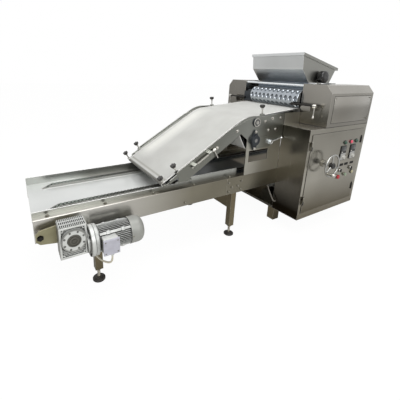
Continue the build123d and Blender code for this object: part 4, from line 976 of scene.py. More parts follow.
def make_tension_screws():
    start = on_incline(SCREW_X[0])
    start = (start[0], start[1] - SCREW_DROP / math.cos(INCLINE))
    run = (SCREW_X[1] - SCREW_X[0]) / math.cos(INCLINE)
    thread = [(0, 4.6), (1, 5.4)]
    for ridge in range(int((run - 4) / 3)):
        thread += [(2 + 3 * ridge, 5.9), (3.5 + 3 * ridge, 5.0)]
    thread += [(run, 5.9), (run, 9), (run + 1, 10), (run + 17, 10), (run + 18, 9)]
    axis = Vector((math.cos(INCLINE), 0, math.sin(INCLINE)))
    down = Vector((math.sin(INCLINE), 0, -math.cos(INCLINE)))
    for side, word in SIDES:
        place = (start[0], side * SCREW_Y, start[1])
        screw = turned("thread", place, axis, thread, sides=20)
        collar = Vector(place) + axis * (run + 9)
        bar = turned("tommy_bar", collar, down, [(-14, 2.6), (-13, 3.5), (61, 3.5), (62, 2.6)], sides=16)
        finished(joined(f"tension_screw_{word}_bar", [screw, bar]), bright_steel, "bright_steel",
                 body=f"tension_screw_{word}", stands_for=[f"tension_screw_{word}"])


LEVER = (1464.0, 647.0)
LEVER_TILT = math.radians(10.5)
LEVER_REACH = 108.0


def make_belt_lever():
    hub = [(0.3, 17), (3, 17), (3, 15), (12, 15), (13.5, 16), (17, 16), (18.3, 14.5), (18.3, 8), (17, 7),
           (17, 3)]
    face = turned("hub", (LEVER[0], -SIDE_FACE, LEVER[1]), -Y, hub, sides=40)
    axis = Vector((math.cos(LEVER_TILT), 0, math.sin(LEVER_TILT)))
    arm = [(8, 7.5), (20, 6.2), (LEVER_REACH - 12, 4.6), (LEVER_REACH - 7, 4.8), (LEVER_REACH - 4, 7),
           (LEVER_REACH, 8), (LEVER_REACH + 4, 7), (LEVER_REACH + 7.5, 3)]
    bar = turned("arm", (LEVER[0], -SIDE_FACE - 9.3, LEVER[1]), axis, arm, sides=24)
    finished(joined("belt_lever_handle", [face, bar]), polished_bar, "bright_steel", body="belt_lever",
             stands_for=["belt_lever"])


PLATE_BOLTS = [(1465, 806), (1508, 731), (1440, 729), (1545, 806), (1400, 790), (1010, 655), (1160, 745)]
BEARING_EAR, BEARING_T = 56.0, 10.0


def make_side_plate_fittings():
    """Bolts and bearing rims on the outer faces of the belt's side plates."""
    bolt = hex_bolt("plate_bolt")
    bright = []
    bearing_bolts = [(RETURN_ROLLER[0], RETURN_ROLLER[1] + ear) for ear in (-BEARING_EAR, BEARING_EAR)]
    rim = [(8.5, 30), (9.6, 29), (9.6, 21), (8, 20), (8, 14), (10.4, 13.4), (10.4, 5), (9.4, 4)]
    rim_x, rim_z = CREST_ROLLER
    for side, turn in FACES.items():
        for x, z in PLATE_BOLTS:
            bright.append(copied(bolt, stand_at((x, side * SIDE_FACE, z), turn)))
        for x, z in bearing_bolts:
            bright.append(copied(bolt, stand_at((x, side * (SIDE_FACE + BEARING_T), z), turn)))
        bright.append(turned("crest_rim", (rim_x, side * SIDE_FACE, rim_z), side * Y, rim, sides=40))
    removed(bolt)
    finished(joined("side_plate_bolts", bright), bright_steel, "bright_steel")


LIP_START, LIP_END = 1115.0, 1366.0
LIP_RISE, LIP_END_RISE = 12.0, 3.0


def make_plate_lips():
    """The raised upper edge of the belt's side plates, carried on over the crest."""
    tangent, (bend_x, bend_z), (centre_x, centre_z) = crest_bend()
    run = (bend_x - LIP_START) / math.cos(INCLINE)
    bar = block("lip_bar", (-run, HALF + 0.2, -BELT_T), (0, SIDE_FACE - 0.2, LIP_RISE))
    lip = copied(bar, stand_at((bend_x, 0, bend_z), Matrix.Rotation(-INCLINE, 4, "Y")))
    removed(bar)
    edit_faces(lip, lambda c, n: n.x > 0.5 and n.z > 0.2)
    bpy.ops.mesh.spin(steps=6, angle=INCLINE - HEAD_RISE, center=at(centre_x, 0, centre_z), axis=-Y)
    tail = LIP_END - CREST[0] - tangent * math.cos(HEAD_RISE)
    along = Vector((math.cos(HEAD_RISE), 0, math.sin(HEAD_RISE)))
    extrude(along * tail / math.cos(HEAD_RISE))
    foot_x, foot_z = on_head_run(LIP_END, -BELT_T)
    taper = (LIP_END_RISE + BELT_T) / (LIP_RISE + BELT_T)
    bpy.ops.transform.resize(value=(taper, 1, taper), center_override=at(foot_x, 0, foot_z))
    outward()
    finished(joined("plate_lips", [lip, copied(lip, MIRROR)]), stainless_side, "stainless")


# Moulding head
DIE = (1772.0, 924.88)
DIE_R = 62.0
DIE_START, DIE_LENGTH = -274.0, 456.0
CUPS_ROUND, CUPS_ALONG = 7, 11
CUP_STRETCH = 1.45
FIRST_ROW = math.radians(15)


def make_die_roller():
    """The die: a polished barrel with rows of oval moulding cups cut into it."""
    x, z = DIE
    pitch = DIE_LENGTH / CUPS_ALONG
    rim = [(0, DIE_R - 2), (2, DIE_R)] + [(pitch * i, DIE_R) for i in range(1, CUPS_ALONG)]
    rim += [(DIE_LENGTH - 2, DIE_R), (DIE_LENGTH, DIE_R - 2)]
    barrel = turned("barrel", (x, DIE_START, z), Y, rim, sides=120)
    hollow = [(DIE_R - 8, 9), (DIE_R - 7, 11.6), (DIE_R - 1.5, 14.4), (DIE_R + 1, 16.4), (DIE_R + 3, 16.6)]
    cup = turned("cup", (x, DIE_START, z), Z, hollow, sides=28)
    edit_faces(cup, lambda centre, normal: True)
    bpy.ops.transform.resize(value=(CUP_STRETCH, 1, 1), center_override=at(x, DIE_START, z))
    object_mode()
    cups = []
    for along in range(CUPS_ALONG):
        shift = to(0, pitch * (along + 0.5), 0)
        for step in range(CUPS_ROUND):
            turn = Matrix.Rotation(FIRST_ROW + 2 * math.pi * step / CUPS_ROUND, 4, "Y")
            cups.append(copied(cup, about(x, 0, z, turn) @ shift))
    removed(cup)
    cut(barrel, joined("cups", cups))
    shaft = turned("shaft", (x, -340, z), Y, [(0, 13), (1, 14), (679, 14), (680, 13)], sides=28)
    finished(joined("engraved_die", [barrel, shaft]), polished_die, "polished_roller", body="die_roller",
             stands_for=["die_roller"], angle=30)


ROD = (1703.0, 894.0)
ROD_INNER, ROD_OUTER = 246.0, 405.0


def make_clamp_rods():
    x, z = ROD
    rod = [(ROD_INNER - 12, 9), (ROD_INNER - 11, 11), (ROD_INNER - 3, 11), (ROD_INNER, 8.6),
           (ROD_INNER + 4, 8), (ROD_OUTER + 2, 8)]
    hub = [(ROD_OUTER, 11.5), (ROD_OUTER + 1.5, 13), (ROD_OUTER + 20, 13), (ROD_OUTER + 23, 11),
           (ROD_OUTER + 24, 8)]
    handle = [(0, 6), (14, 5.2), (60, 4.4), (68, 4.8), (71, 7), (76, 8), (81, 7), (84, 3)]
    for side, word in SIDES:
        name = f"clamp_rod_{word}"
        out = side * Y
        bar = turned(f"{name}_bar", (x, 0, z), out, rod, sides=28)
        finished(bar, black_oxide, "dark_iron", body=name, stands_for=[name])
        parts = [turned("hub", (x, 0, z), out, hub, sides=32),
                 turned("handle", (x, side * (ROD_OUTER + 12), z), -Z, handle, sides=24)]
        finished(joined(f"{name}_lever", parts), bright_steel, "bright_steel", body=name)


HOPPER_KNOB = (1970.0, 1081.0)
HOPPER_END = 240.0


def make_hopper_knob():
    x, z = HOPPER_KNOB
    profile = [(0.3, 16), (10, 16), (10, 36), (12, 41), (16, 44), (46, 44), (52, 42), (56, 37), (58, 29),
               (58, 12), (57, 11), (57, 4)]
    knob = turned("hopper_knob_grip", (x, -HOPPER_END, z), -Y, profile, sides=48)
    finished(knob, gloss_phenolic, "black_plastic", body="hopper_knob", stands_for=["hopper_knob"])


HOUSE_FACE = 496.0
COVER_X, COVER_Z = (1790.0, 2244.0), (786.0, 962.0)
# Dark strips of painted shade along the housing's joint with the cabinet and round the cover plates
JOINT_X, JOINT_Z = (1747.5, 2270.5), (756.3, 760.5)
SHADE_LINE_EDGE, COVER_SCREW = 3.0, 12.0


def slab(name, side, x, y, z):
    """A block on one side of the machine, y being its distances from the centre plane."""
    y0, y1 = sorted((side * y[0], side * y[1]))
    return block(name, (x[0], y0, z[0]), (x[1], y1, z[1]))


def make_housing_covers():
    """Removable cover plates on the outer faces of the two roller housings, and thin dark strips of painted
    shade round both plates and along the housings' joints with the cabinets.
    """
    screw = [(0, 4), (1.6, 4), (2.4, 2.8)]
    plates, screws, shade_lines = [], [], []
    (x0, x1), (z0, z1) = COVER_X, COVER_Z
    for side in (NEAR, FAR):
        plate = slab("cover", side, COVER_X, (HOUSE_FACE, HOUSE_FACE + 1.6), COVER_Z)
        plates.append(ease(plate, 0.7, 2))
        # Dark strips of painted shade round the cover plate and along the housing's joint with the cabinet
        shade_line_x, shade_line_z = (x0 - SHADE_LINE_EDGE, x1 + SHADE_LINE_EDGE), (z0 - SHADE_LINE_EDGE, z1 + SHADE_LINE_EDGE)
        shade_lines.append(slab("shade_line", side, shade_line_x, (HOUSE_FACE, HOUSE_FACE + 0.6), shade_line_z))
        shade_lines.append(slab("joint", side, JOINT_X, (HALF - 0.5, HOUSE_FACE + 0.5), JOINT_Z))
        for x in (x0 + COVER_SCREW, x1 - COVER_SCREW):
            for z in (z0 + COVER_SCREW, z1 - COVER_SCREW):
                place = (x, side * (HOUSE_FACE + 1.4), z)
                screws.append(turned("cover_screw", place, side * Y, screw, sides=14))
    finished(joined("housing_covers", plates), stainless_panel, "stainless")
    finished(joined("cover_screws", screws), zinc_plate, "bright_steel")
    finished(joined("cover_shade_lines", shade_lines), foot_rubber, "foot_rubber")


# Door and its controls
DOOR_X, DOOR_Z = (1615.0, 2235.0), (164.0, 722.0)
# Painted shade round the door: how far the dark strip reaches out past the door and in under it, and its
# thickness
GAP_SHADE_OUT, GAP_SHADE_IN, GAP_SHADE_T = 2.5, 12.0, 0.8


def make_door_gap_shade():
    """A thin strip of dark rubber on the cabinet's face that the door closes on: painted shade of the gap,
    seen as a dark line round the door.
    """
    (x0, x1), (z0, z1) = DOOR_X, DOOR_Z
    low, high = (x0 - GAP_SHADE_OUT, z0 - GAP_SHADE_OUT), (x1 + GAP_SHADE_OUT, z1 + GAP_SHADE_OUT)
    strips = []
    for a, b in ((low, (x0 + GAP_SHADE_IN, high[1])), ((x1 - GAP_SHADE_IN, low[1]), high),
                 ((x0 + GAP_SHADE_IN, low[1]), (x1 - GAP_SHADE_IN, z0 + GAP_SHADE_IN)),
                 ((x0 + GAP_SHADE_IN, z1 - GAP_SHADE_IN), (x1 - GAP_SHADE_IN, high[1]))):
        strips.append(block("strip", (a[0], -HOUSE_FACE - GAP_SHADE_T, a[1]), (b[0], -HOUSE_FACE, b[1])))
    finished(joined("door_gap_shade", strips), foot_rubber, "foot_rubber")


WHEEL = (1784.0, 510.0)
WHEEL_R = 74.0
WHEEL_Y = -(DOOR_FACE + 62)
CRANK_TURN = math.radians(215)
SPOKES = 3


def make_handwheel():
    x, z = WHEEL
    clear_selection()
    bpy.ops.mesh.primitive_torus_add(
        major_segments=72, minor_segments=16, major_radius=WHEEL_R * MM, minor_radius=6.6 * MM,
        location=at(x, WHEEL_Y, z), rotation=(math.pi / 2, 0, 0))
    parts = [made("rim")]
    parts.append(turned("shaft", (x, -DOOR_FACE, z), -Y, [(0, 9.6), (50, 9.6)], sides=28))
    hub = [(46, 15), (48, 19), (51, 20), (70, 20), (74, 18.5), (75, 15), (75, 9), (73, 8.5), (73, 4)]
    boss = turned("handwheel_hub", (x, -DOOR_FACE, z), -Y, hub, sides=36)
    finished(boss, black_enamel, "dark_iron", body="handwheel")
    spoke = [(12, 7), (24, 6.4), (60, 5.2), (72, 6)]
    for i in range(SPOKES):
        turn = CRANK_TURN + 2 * math.pi * i / SPOKES
        out = Vector((math.cos(turn), 0, math.sin(turn)))
        parts.append(turned("spoke", (x, WHEEL_Y, z), out, spoke, sides=20))
    finished(joined("handwheel_rim", parts), chrome, "bright_steel", body="handwheel",
             stands_for=["handwheel"])
    grip_x, grip_z = x + WHEEL_R * math.cos(CRANK_TURN), z + WHEEL_R * math.sin(CRANK_TURN)
    profile = [(2, 6), (9, 6), (9, 9.5), (12, 11), (26, 9.6), (44, 11.2), (57, 11.6), (61, 9.5), (63, 5)]
    grip = turned("handwheel_grip", (grip_x, WHEEL_Y, grip_z), -Y, profile, sides=32)
    finished(grip, bright_steel, "bright_steel", body="handwheel")


CONTROLLER_X = (2003.0, 2125.0)
CONTROLLER_Z = 556.0
CONTROLLER_SIZE = (66.0, 108.0, 6.0)
DIAL_Z = 528.0
DIAL_TICKS, DIAL_SWING = 11, 135


def on_door(name, x0, x1, z0, z1, back, front):
    """A block on the door's face, from back to front millimetres off it."""
    return block(name, (x0, -DOOR_FACE - front, z0), (x1, -DOOR_FACE - back, z1))


def make_controllers():
    width, height, depth = CONTROLLER_SIZE
    bodies, faces, windows, marks = [], [], [], []
    z = CONTROLLER_Z
    low, high = z - height / 2, z + height / 2
    for x in CONTROLLER_X:
        bodies.append(ease(on_door("case", x - width / 2, x + width / 2, low, high, 0, depth - 0.6), 2.0, 3))
        faces.append(ease(on_door("face", x - 30, x + 30, low + 3, z - 1, depth - 2, depth), 0.6, 2))
        window = on_door("window", x - 26, x + 26, z + 17, high - 5, depth - 2, depth + 0.1)
        windows.append(ease(window, 0.6, 2))
        marks.append(ease(on_door("key", x - 24, x - 11, z + 4, z + 12, depth - 1, depth + 0.8), 0.5, 2))
        tick = on_door("tick", x - 0.7, x + 0.7, DIAL_Z + 19.5, DIAL_Z + 24, depth - 1, depth + 0.15)
        for i in range(DIAL_TICKS):
            turn = math.radians(-DIAL_SWING + 2 * DIAL_SWING * i / (DIAL_TICKS - 1))
            marks.append(copied(tick, about(x, 0, DIAL_Z, Matrix.Rotation(turn, 4, "Y"))))
        removed(tick)
    finished(joined("controller_cases", bodies), black_abs, "black_plastic", body="door",
             stands_for=["speed_controllers"])
    finished(joined("controller_faces", faces), grey_abs, "grey_plastic", body="door")
    finished(joined("controller_windows", windows), smoked_window, "black_plastic", body="door")
    finished(joined("controller_marks", marks), pale_abs, "grey_plastic", body="door")
    face = -DOOR_FACE - depth
    profile = [(0.3, 16), (2, 16), (3, 14.5), (12, 13.4), (14.5, 12), (15, 10)]
    for x, name in zip(CONTROLLER_X, ("speed_dial_left", "speed_dial_right")):
        knob = turned(f"{name}_knob", (x, face, DIAL_Z), -Y, profile, sides=28)
        finished(knob, pale_abs, "grey_plastic", body=name, stands_for=[name])
        mark = block(f"{name}_mark", (x - 1, face - 15.8, DIAL_Z + 1), (x + 1, face - 14.5, DIAL_Z + 11))
        finished(ease(mark, 0.3, 1), black_abs, "black_plastic", body=name)


LAMPS = {
    "green": [(2010.0, 634.0), (2157.0, 634.0)],
    "red": [(2086.0, 634.0)],
    "yellow": [(2175.0, 388.0)],
}


def make_lamps():
    ring = [(0, 16), (2.5, 16), (4, 15), (4.6, 13.6), (3, 13)]
    dome = [(2, 12.8), (8, 12.4), (10.5, 11), (12.4, 8), (13.3, 4), (13.5, 1)]
    bezels = []
    for name, places in LAMPS.items():
        lenses = []
        for x, z in places:
            bezels.append(turned("bezel", (x, -DOOR_FACE, z), -Y, ring, sides=32))
            lenses.append(turned("lens", (x, -DOOR_FACE, z), -Y, dome, sides=32))
        finished(joined(f"lamp_lens_{name}", lenses), lamp_materials[name], "lamp_glass", body="door",
                 stands_for=["indicator_lamps"] if name == "green" else ())
    finished(joined("lamp_bezels", bezels), black_abs, "black_plastic", body="door")


SELECTORS = {"selector_left": 2005.0, "selector_right": 2145.0}
SELECTOR_Z = 424.0
BUTTONS = {"stop_button": (1988.0, 376.0, 15.0), "start_button": (2078.0, 382.0, 11.0)}
LABEL_PLATES = (2017.0, 2079.0, 2153.0)
LABEL_Z = 464.0


def make_door_switches():
    for name, x in SELECTORS.items():
        place = (x, -DOOR_FACE, SELECTOR_Z)
        base = turned(f"{name}_base", place, -Y, [(0.3, 14), (7, 14)], sides=32)
        finished(base, black_abs, "black_plastic", body=name, stands_for=[name])
        bezel = turned(f"{name}_bezel", place, -Y, [(7, 14), (9, 12.4), (9.2, 9)], sides=32)
        finished(bezel, bright_steel, "bright_steel", body=name)
        grip = on_door(f"{name}_grip", x - 3.4, x + 3.4, SELECTOR_Z - 12, SELECTOR_Z + 12, 8, 17)
        finished(ease(grip, 1.5, 3), gloss_phenolic, "black_plastic", body=name)
    ring = [(0, 17), (2, 17), (3, 15.5), (3, 14.4), (0.5, 14.3)]
    places = [(x, -DOOR_FACE, SELECTOR_Z) for x in SELECTORS.values()]
    rings = [turned("ring", place, -Y, ring, sides=36) for place in places]
    for x, z, size in BUTTONS.values():
        ring = [(0, size + 4.4), (3, size + 4.4), (4.4, size + 3.2), (4.4, size + 0.8), (0.1, size + 0.6)]
        rings.append(turned("ring", (x, -DOOR_FACE, z), -Y, ring, sides=36))
    finished(joined("switch_rings", rings), zinc_plate, "bright_steel", body="door")
    looks = {"stop_button": (red_cap, "button_red"), "start_button": (green_cap, "button_green")}
    for name, (x, z, size) in BUTTONS.items():
        profile = [(5.3, size - 1), (6, size), (13, size), (14.6, size - 1), (15.3, size - 4), (15.3, 1)]
        cap = turned(f"{name}_cap", (x, -DOOR_FACE, z), -Y, profile, sides=32)
        finished(cap, *looks[name], body=name, stands_for=[name])
    plates = []
    for x in LABEL_PLATES:
        plates.append(ease(on_door("label_plate", x - 22, x + 22, LABEL_Z - 9, LABEL_Z + 9, 0, 1.6), 0.5, 1))
    finished(joined("label_plates", plates), label_laminate, "black_plastic", body="door")


LATCH_X = 2222.0
LATCHES = {"latch_lower": 262.0, "latch_upper": 641.0}
HINGES = (260.0, 646.0)
KNUCKLE = 27.5
HINGE_AXIS = (1610.6, -507.0)


def make_latches_and_hinges():
    for name, z in LATCHES.items():
        base = ease(on_door("base", LATCH_X - 4.4, LATCH_X + 4.4, z - 29, z + 29, 0.3, 4), 1.5, 2)
        paddle = on_door("paddle", LATCH_X - 3.6, LATCH_X + 3.6, z - 27, z + 22, 3.5, 7)
        edit_faces(paddle, lambda c, n: n.y < -0.9)
        bpy.ops.transform.resize(value=(0.7, 1, 0.9), center_override=at(LATCH_X, -DOOR_FACE - 7, z - 27))
        object_mode()
        handle = joined(f"{name}_handle", [base, ease(paddle, 1.2, 2)])
        finished(handle, black_abs, "black_plastic", body=name, stands_for=[name])
    x, y = HINGE_AXIS
    steps = [(0, 3.4), (0.6, 4), (KNUCKLE - 0.6, 4), (KNUCKLE, 3.4)]
    # The leaf of each body: the knuckle's foot above the hinge's middle, plate, back of the plate, web
    leaves = {
        "frame": (-KNUCKLE - 0.3, (1589, x - 4.6), -DOOR_FACE + 4, (x - 4.6, x)),
        "door": (0.3, (x + 4.6, 1632), -DOOR_FACE, (x, x + 4.6)),
    }
    for body, (foot, (x0, x1), back, (web0, web1)) in leaves.items():
        knuckles, plates = [], []
        for z in HINGES:
            low, top = z + foot, z + foot + KNUCKLE
            knuckles.append(turned("knuckle", (x, y, low), Z, steps, sides=20))
            plates.append(ease(block("plate", (x0, back - 2, low), (x1, back, top)), 0.5, 1))
            plates.append(block("web", (web0, back - 2.4, low + 0.5), (web1 + 1, y + 2, top - 0.5)))
        finished(joined(f"hinge_knuckles_{body}", knuckles), black_enamel, "dark_iron", body=body,
                 stands_for=["door_hinges"] if body == "frame" else ())
        finished(joined(f"hinge_plates_{body}", plates), stainless_door, "stainless", body=body)


# Motor cable: the route of the CAD solid, in millimetres on the machine's axes
CABLE_ROUTE = [
    (303, -441.5, 259), (303, -441.5, 232), (292, -424, 210), (268, -388, 206), (248, -342, 216),
    (240, -296, 238), (238, -254, 272), (250, -230, 314), (286, -234, 344), (338, -252, 341),
    (394, -263, 326), (1440, -263, 326), (1496, -252, 341), (1540, -233, 332), (1563, -231, 296),
    (1566, -246, 256), (1564, -272, 222), (1564, -294, 195), (1571, -302, 181), (1588, -302, 181),
]
CABLE_DIAMETER = 0.009


def make_cable():
    curve = bpy.data.curves.new("motor_cable_sheath", "CURVE")
    curve.dimensions = "3D"
    curve.bevel_depth = CABLE_DIAMETER / 2
    curve.bevel_resolution = 4
    curve.resolution_u = 8
    curve.use_fill_caps = True
    spline = curve.splines.new("NURBS")
    spline.points.add(len(CABLE_ROUTE) - 1)
    for point, place in zip(spline.points, CABLE_ROUTE):
        point.co = (*at(*place), 1)
    spline.order_u = 3
    spline.use_endpoint_u = True
    cable = bpy.data.objects.new("motor_cable_sheath", curve)
    bpy.context.scene.collection.objects.link(cable)
    curve.materials.append(cream_pvc)
    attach(cable, "frame")
    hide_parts("motor_cable")


# Stage
def seen_rays(tree, *names):
    """1 for rays of the named kinds, 0 for others."""
    path = node(tree, "ShaderNodeLightPath").outputs
    total = path[names[0]]
    for name in names[1:]:
        total = node(tree, "ShaderNodeMath", {0: total, 1: path[name]}, operation="MAXIMUM").outputs[0]
    return total


REFLECTED_RAYS = ("Is Glossy Ray", "Is Transmission Ray")
ROOM_LIGHT, BACKDROP = 0.55, 1.0
FLOOR_GLOW = 1.04
FLOOR_SEEN_WHITE, FLOOR_REFLECTED_WHITE = 0.92, 0.1


def make_stage():
    """A white room and a pale floor that the camera sees almost as white as the room."""
    scene = bpy.context.scene
    scene.view_settings.view_transform = "Standard"
    scene.world = bpy.data.worlds.new("studio")
    scene.world.use_nodes = True
    tree = scene.world.node_tree
    strength = spread(tree, seen_rays(tree, "Is Camera Ray", *REFLECTED_RAYS), ROOM_LIGHT, BACKDROP)
    tree.links.new(strength, tree.nodes["Background"].inputs["Strength"])
    tree.nodes["Background"].inputs["Color"].default_value = (1, 1, 1, 1)

    clear_selection()
    bpy.ops.mesh.primitive_plane_add(size=40, location=(0, 0, 0))
    floor = bpy.context.object
    floor.name = "floor"
    material, tree, shader = new_material("pale_floor", Roughness=0.9)
    shader.inputs["Base Color"].default_value = colour("e6e5e2")
    glow = node(tree, "ShaderNodeEmission", {"Strength": FLOOR_GLOW})
    to_camera = spread(tree, seen_rays(tree, "Is Camera Ray"), 0.0, FLOOR_SEEN_WHITE)
    to_metal = spread(tree, seen_rays(tree, *REFLECTED_RAYS), 0.0, FLOOR_REFLECTED_WHITE)
    share = node(tree, "ShaderNodeMath", {0: to_camera, 1: to_metal}, operation="MAXIMUM").outputs[0]
    mix = node(tree, "ShaderNodeMixShader", {"Fac": share})
    tree.links.new(shader.outputs["BSDF"], mix.inputs[1])
    tree.links.new(glow.outputs["Emission"], mix.inputs[2])
    tree.links.new(mix.outputs["Shader"], tree.nodes["Material Output"].inputs["Surface"])
    floor.data.materials.append(material)

    area_light("overhead", at(900, -300, 3600), at(1100, 0, 400), (3.2, 2.4), 58)
    area_light("front", at(500, -3000, 2300), at(1200, -100, 600), (2.0, 1.8), 40)


def area_light(name, place, target, size, watts):
    lamp = bpy.data.objects.new(name, bpy.data.lights.new(name, "AREA"))
    lamp.data.shape = "RECTANGLE"
    lamp.data.size, lamp.data.size_y = size
    lamp.data.energy = watts
    lamp.location = place
    lamp.rotation_euler = (target - place).to_track_quat("-Z", "Y").to_euler()
    bpy.context.scene.collection.objects.link(lamp)


# The materials of this machine. The tones of single faces and lengths are mostly painted reflections, painted
# light and painted shade: they stand for what the room shows in them
FACING_END = (facing_share, -X)
FACING_UP = (facing_share, Z)
FACING_BELT_UP = (facing_share, BELT_UP)

# Stainless sheet, rolled and ground: a soft grey with a painted reflection of the dark floor that darkens it
# low down, painted shade on the faces that look to the discharge end, a painted highlight on the cabinet's
# top, and painted highlights along the edges
stainless_panel = sheet_steel("stainless_panel", "928f88", "a19e97", tones=[
    # Painted reflection of the dark floor, darker low down
    (along_share, "Z", 100, 620, "635b49"),
    # Painted shade on the faces that look to the discharge end
    (both_shares, FACING_END, (along_share, "Z", 770, 880), "67635b"),
])
stainless_door = sheet_steel("stainless_door", "96938a", "a5a299", rough=(0.17, 0.25), tones=[
    # Painted reflection of the dark floor, darker low down
    (along_share, "Z", 160, 400, "544c39"),
])
stainless_cabinet = sheet_steel("stainless_cabinet", "9c998f", "aaa79e", tones=[
    # Painted reflection of the dark floor, darker low down
    (along_share, "Z", 100, 380, "6a6250"),
    # Painted highlight on the top, the bright room seen in it
    (*FACING_UP, "f2efe7"),
    # Painted shade on the faces that look to the discharge end, darkest low down
    (*FACING_END, "9a958a"),
    (both_shares, FACING_END, (along_share, "Z", 740, 560), "575349"),
    (both_shares, FACING_END, (along_share, "Z", 170, 430), "1d180f"),
])
stainless_case = sheet_steel("stainless_case", "7b7872", "8a8781", tones=[
    # Painted reflection of the dark floor, darker low down
    (along_share, "Z", 100, 620, "635b49"),
])
# Folded channels and tube: the same sheet with a duller mill finish, its lines along the length; a painted
# reflection lightens the web towards the discharge end, and painted light lies on the top flanges
stainless_profile = sheet_steel(
    "stainless_profile", "777366", "878376", rough=(0.26, 0.36), grain=ALONG_X, tones=[
        # Painted reflection, lighter towards the discharge end
        (along_share, "X", 350, 850, "bdbbb6"),
        # Painted light on the top flanges, paler towards the discharge end
        (*FACING_UP, "7a756a"),
        (both_shares, FACING_UP, (along_share, "X", 250, 620), "b8b6af"),
    ])
stainless_support = sheet_steel(
    "stainless_support", "a4a299", "b8b6ad", rough=(0.28, 0.38), edge_highlight="c2bfb5")
stainless_leg = sheet_steel("stainless_leg", "6c634f", "7d745f", rough=(0.28, 0.4))
# Bed and rails: pale with flour dust, so less like a mirror; painted shade on the bed under the belt and
# beyond the far guide, painted light on the bed under the head, and a painted highlight on the rails' tops
# and edges
stainless_bed = sheet_steel(
    "stainless_bed", "cdcfcd", "dbdddb", rough=(0.26, 0.34), grain=ALONG_X, metallic=0.55, tones=[
        (along_share, "Z", 412, 409, "8b8b87"),
        # Painted shade under the belt
        (along_share, "X", 880, 740, "474c4f"),
        # Painted light on the bed under the head
        (both_shares, (along_share, "X", 1500, 1460), (along_share, "Y", 70, 115), "cfc8bb"),
        # Painted shade beyond the far guide
        (both_shares, (along_share, "X", 380, 240), (along_share, "Y", 168, 156), "7f7e78"),
    ])
stainless_rail = sheet_steel(
    "stainless_rail", "9a9c98", "aeb0ac", rough=(0.26, 0.38), grain=ALONG_X, edge_mm=1.5, edge_highlight="fdfcf8",
    # Painted highlight on the rails' tops
    tones=[(*FACING_UP, "ffffff")])
# Side plates and hopper: ground sheet, darker down the incline and lighter on the far plate, with a painted
# highlight where it faces up to the light, a painted shadow line along the belt's edge, painted light low on
# the hopper and painted shade on its front
stainless_side = sheet_steel("stainless_side", "8b8d88", "9a9c97", rough=(0.24, 0.34), grain=ALONG_X, tones=[
    (along_share, "X", 1000, 1250, "787973"),
    # Painted highlight where the plates face up to the light
    (*FACING_BELT_UP, "f4f5f2"),
    # Painted shadow line in the gap along the belt's edge
    (both_shares, FACING_BELT_UP, (along_share, "Y", -HALF - 2.8, -HALF - 3.2), "3a3b39"),
    (along_share, "Y", 200, 100, "a6a7a3"),
])
stainless_hopper = sheet_steel(
    "stainless_hopper", "c6c8c8", "d2d4d4", rough=(0.28, 0.38), edge_highlight="f2f4f3", tones=[
        # Painted light low on the hopper
        (along_share, "Z", 1060, 1150, "f2f4f4"),
        # Painted shade on the front
        (facing_share, -Y, "8f8f8a"),
        # Painted highlight on the tops
        (*FACING_UP, "fbfdfc"),
    ])

# Rollers: ground steel with a soft shine, a die that is polished like a mirror with a painted reflection of
# the belt on its lower side, painted shade in its cups and an even tone on the faces that look to the near
# side, a floury feed
roller_steel = turned_steel("ground_roller_steel", "8e8f8f", "a2a3a3", rough=(0.22, 0.34))
polished_die = turned_steel("polished_die_metal", "9ca2a9", "b0b6bc", rough=(0.06, 0.14), tones=[
    # Painted reflection of the belt on the lower side
    (facing_share, Vector((-0.8, 0, -0.6)), "bcc2c8"),
    # Painted shade in the cups, less deep at their floors
    (hollow_share, *DIE, DIE_R, "2f343a"),
    (hollow_share, *DIE, DIE_R - 4, "7c8289"),
    (facing_share, -Y, "a6abb0"),
])
polished_bar = turned_steel("polished_bar", "e0e4e7", "eef1f3", rough=(0.22, 0.32))
feed_steel = turned_steel("floury_feed_roller", "5c646c", "6a727a", rough=(0.3, 0.42))
# Turned and plated fittings: bright steel, mirror chrome, dull zinc, black oxide, and oil on hub and chain,
# with painted shade in the grooves of the hub cap
hub_steel = turned_steel("oiled_hub_steel", "565550", "6b6a64", rough=(0.3, 0.45), tones=[
    # Painted shade with oil in the grooves of the cap
    (recess_share, 5, "1b1a18"),
])
bright_steel = turned_steel("bright_turned_steel", "b5b3ad", "c9c7c1", rough=(0.14, 0.26))
dull_steel = turned_steel("dull_steel", "8f8a7f", "a39e93", rough=(0.3, 0.45))
chrome = turned_steel("chrome_plate", "9b9b98", "acaca9", rough=(0.05, 0.1))
zinc_plate = turned_steel("zinc_plate", "7c796f", "908d83", rough=(0.28, 0.42))
black_oxide = turned_steel("blackened_steel", "2b2a28", "3a3836", rough=(0.3, 0.45))
oiled_chain = turned_steel("oiled_chain_steel", "3c3935", "56524b", rough=(0.28, 0.44), tones=[
    (along_share, "X", 480, 800, "6d6f6a"),
    (along_share, "X", 260, 420, "a0a6a0"),
])

# Aluminium paint on castings: a pale silver with a slight metal glint, painted shade with oily dust between
# the ribs, painted shade on the faces that look to the discharge end, and painted shade round the edge of the
# cover's ring
cast_silver = painted(
    "silver_painted_casting", "c4c6c3", "d4d6d3", grime_and_shade="383733", reach_mm=14, Metallic=0.35,
    # Painted shade on the faces that look to the discharge end
    tones=[(*FACING_END, "767670")])
cast_grey = painted("silver_painted_motor", "adafac", "c4c6c3", grime_and_shade="3d3c39", Metallic=0.35)
cover_paint = painted("silver_painted_cover", "8a8b87", "989995", grime_and_shade="6a6964", Metallic=0.35, tones=[
    # Painted shade round the edge of the ring, lighter inside it
    (hollow_share, DRIVE_X, DRIVE_Z, RING_R - 4, "cfd1ce"),
])
cowl_paint = painted("silver_painted_cowl", "8f908b", "9b9c97", depth_mm=0.03, Metallic=0.25)
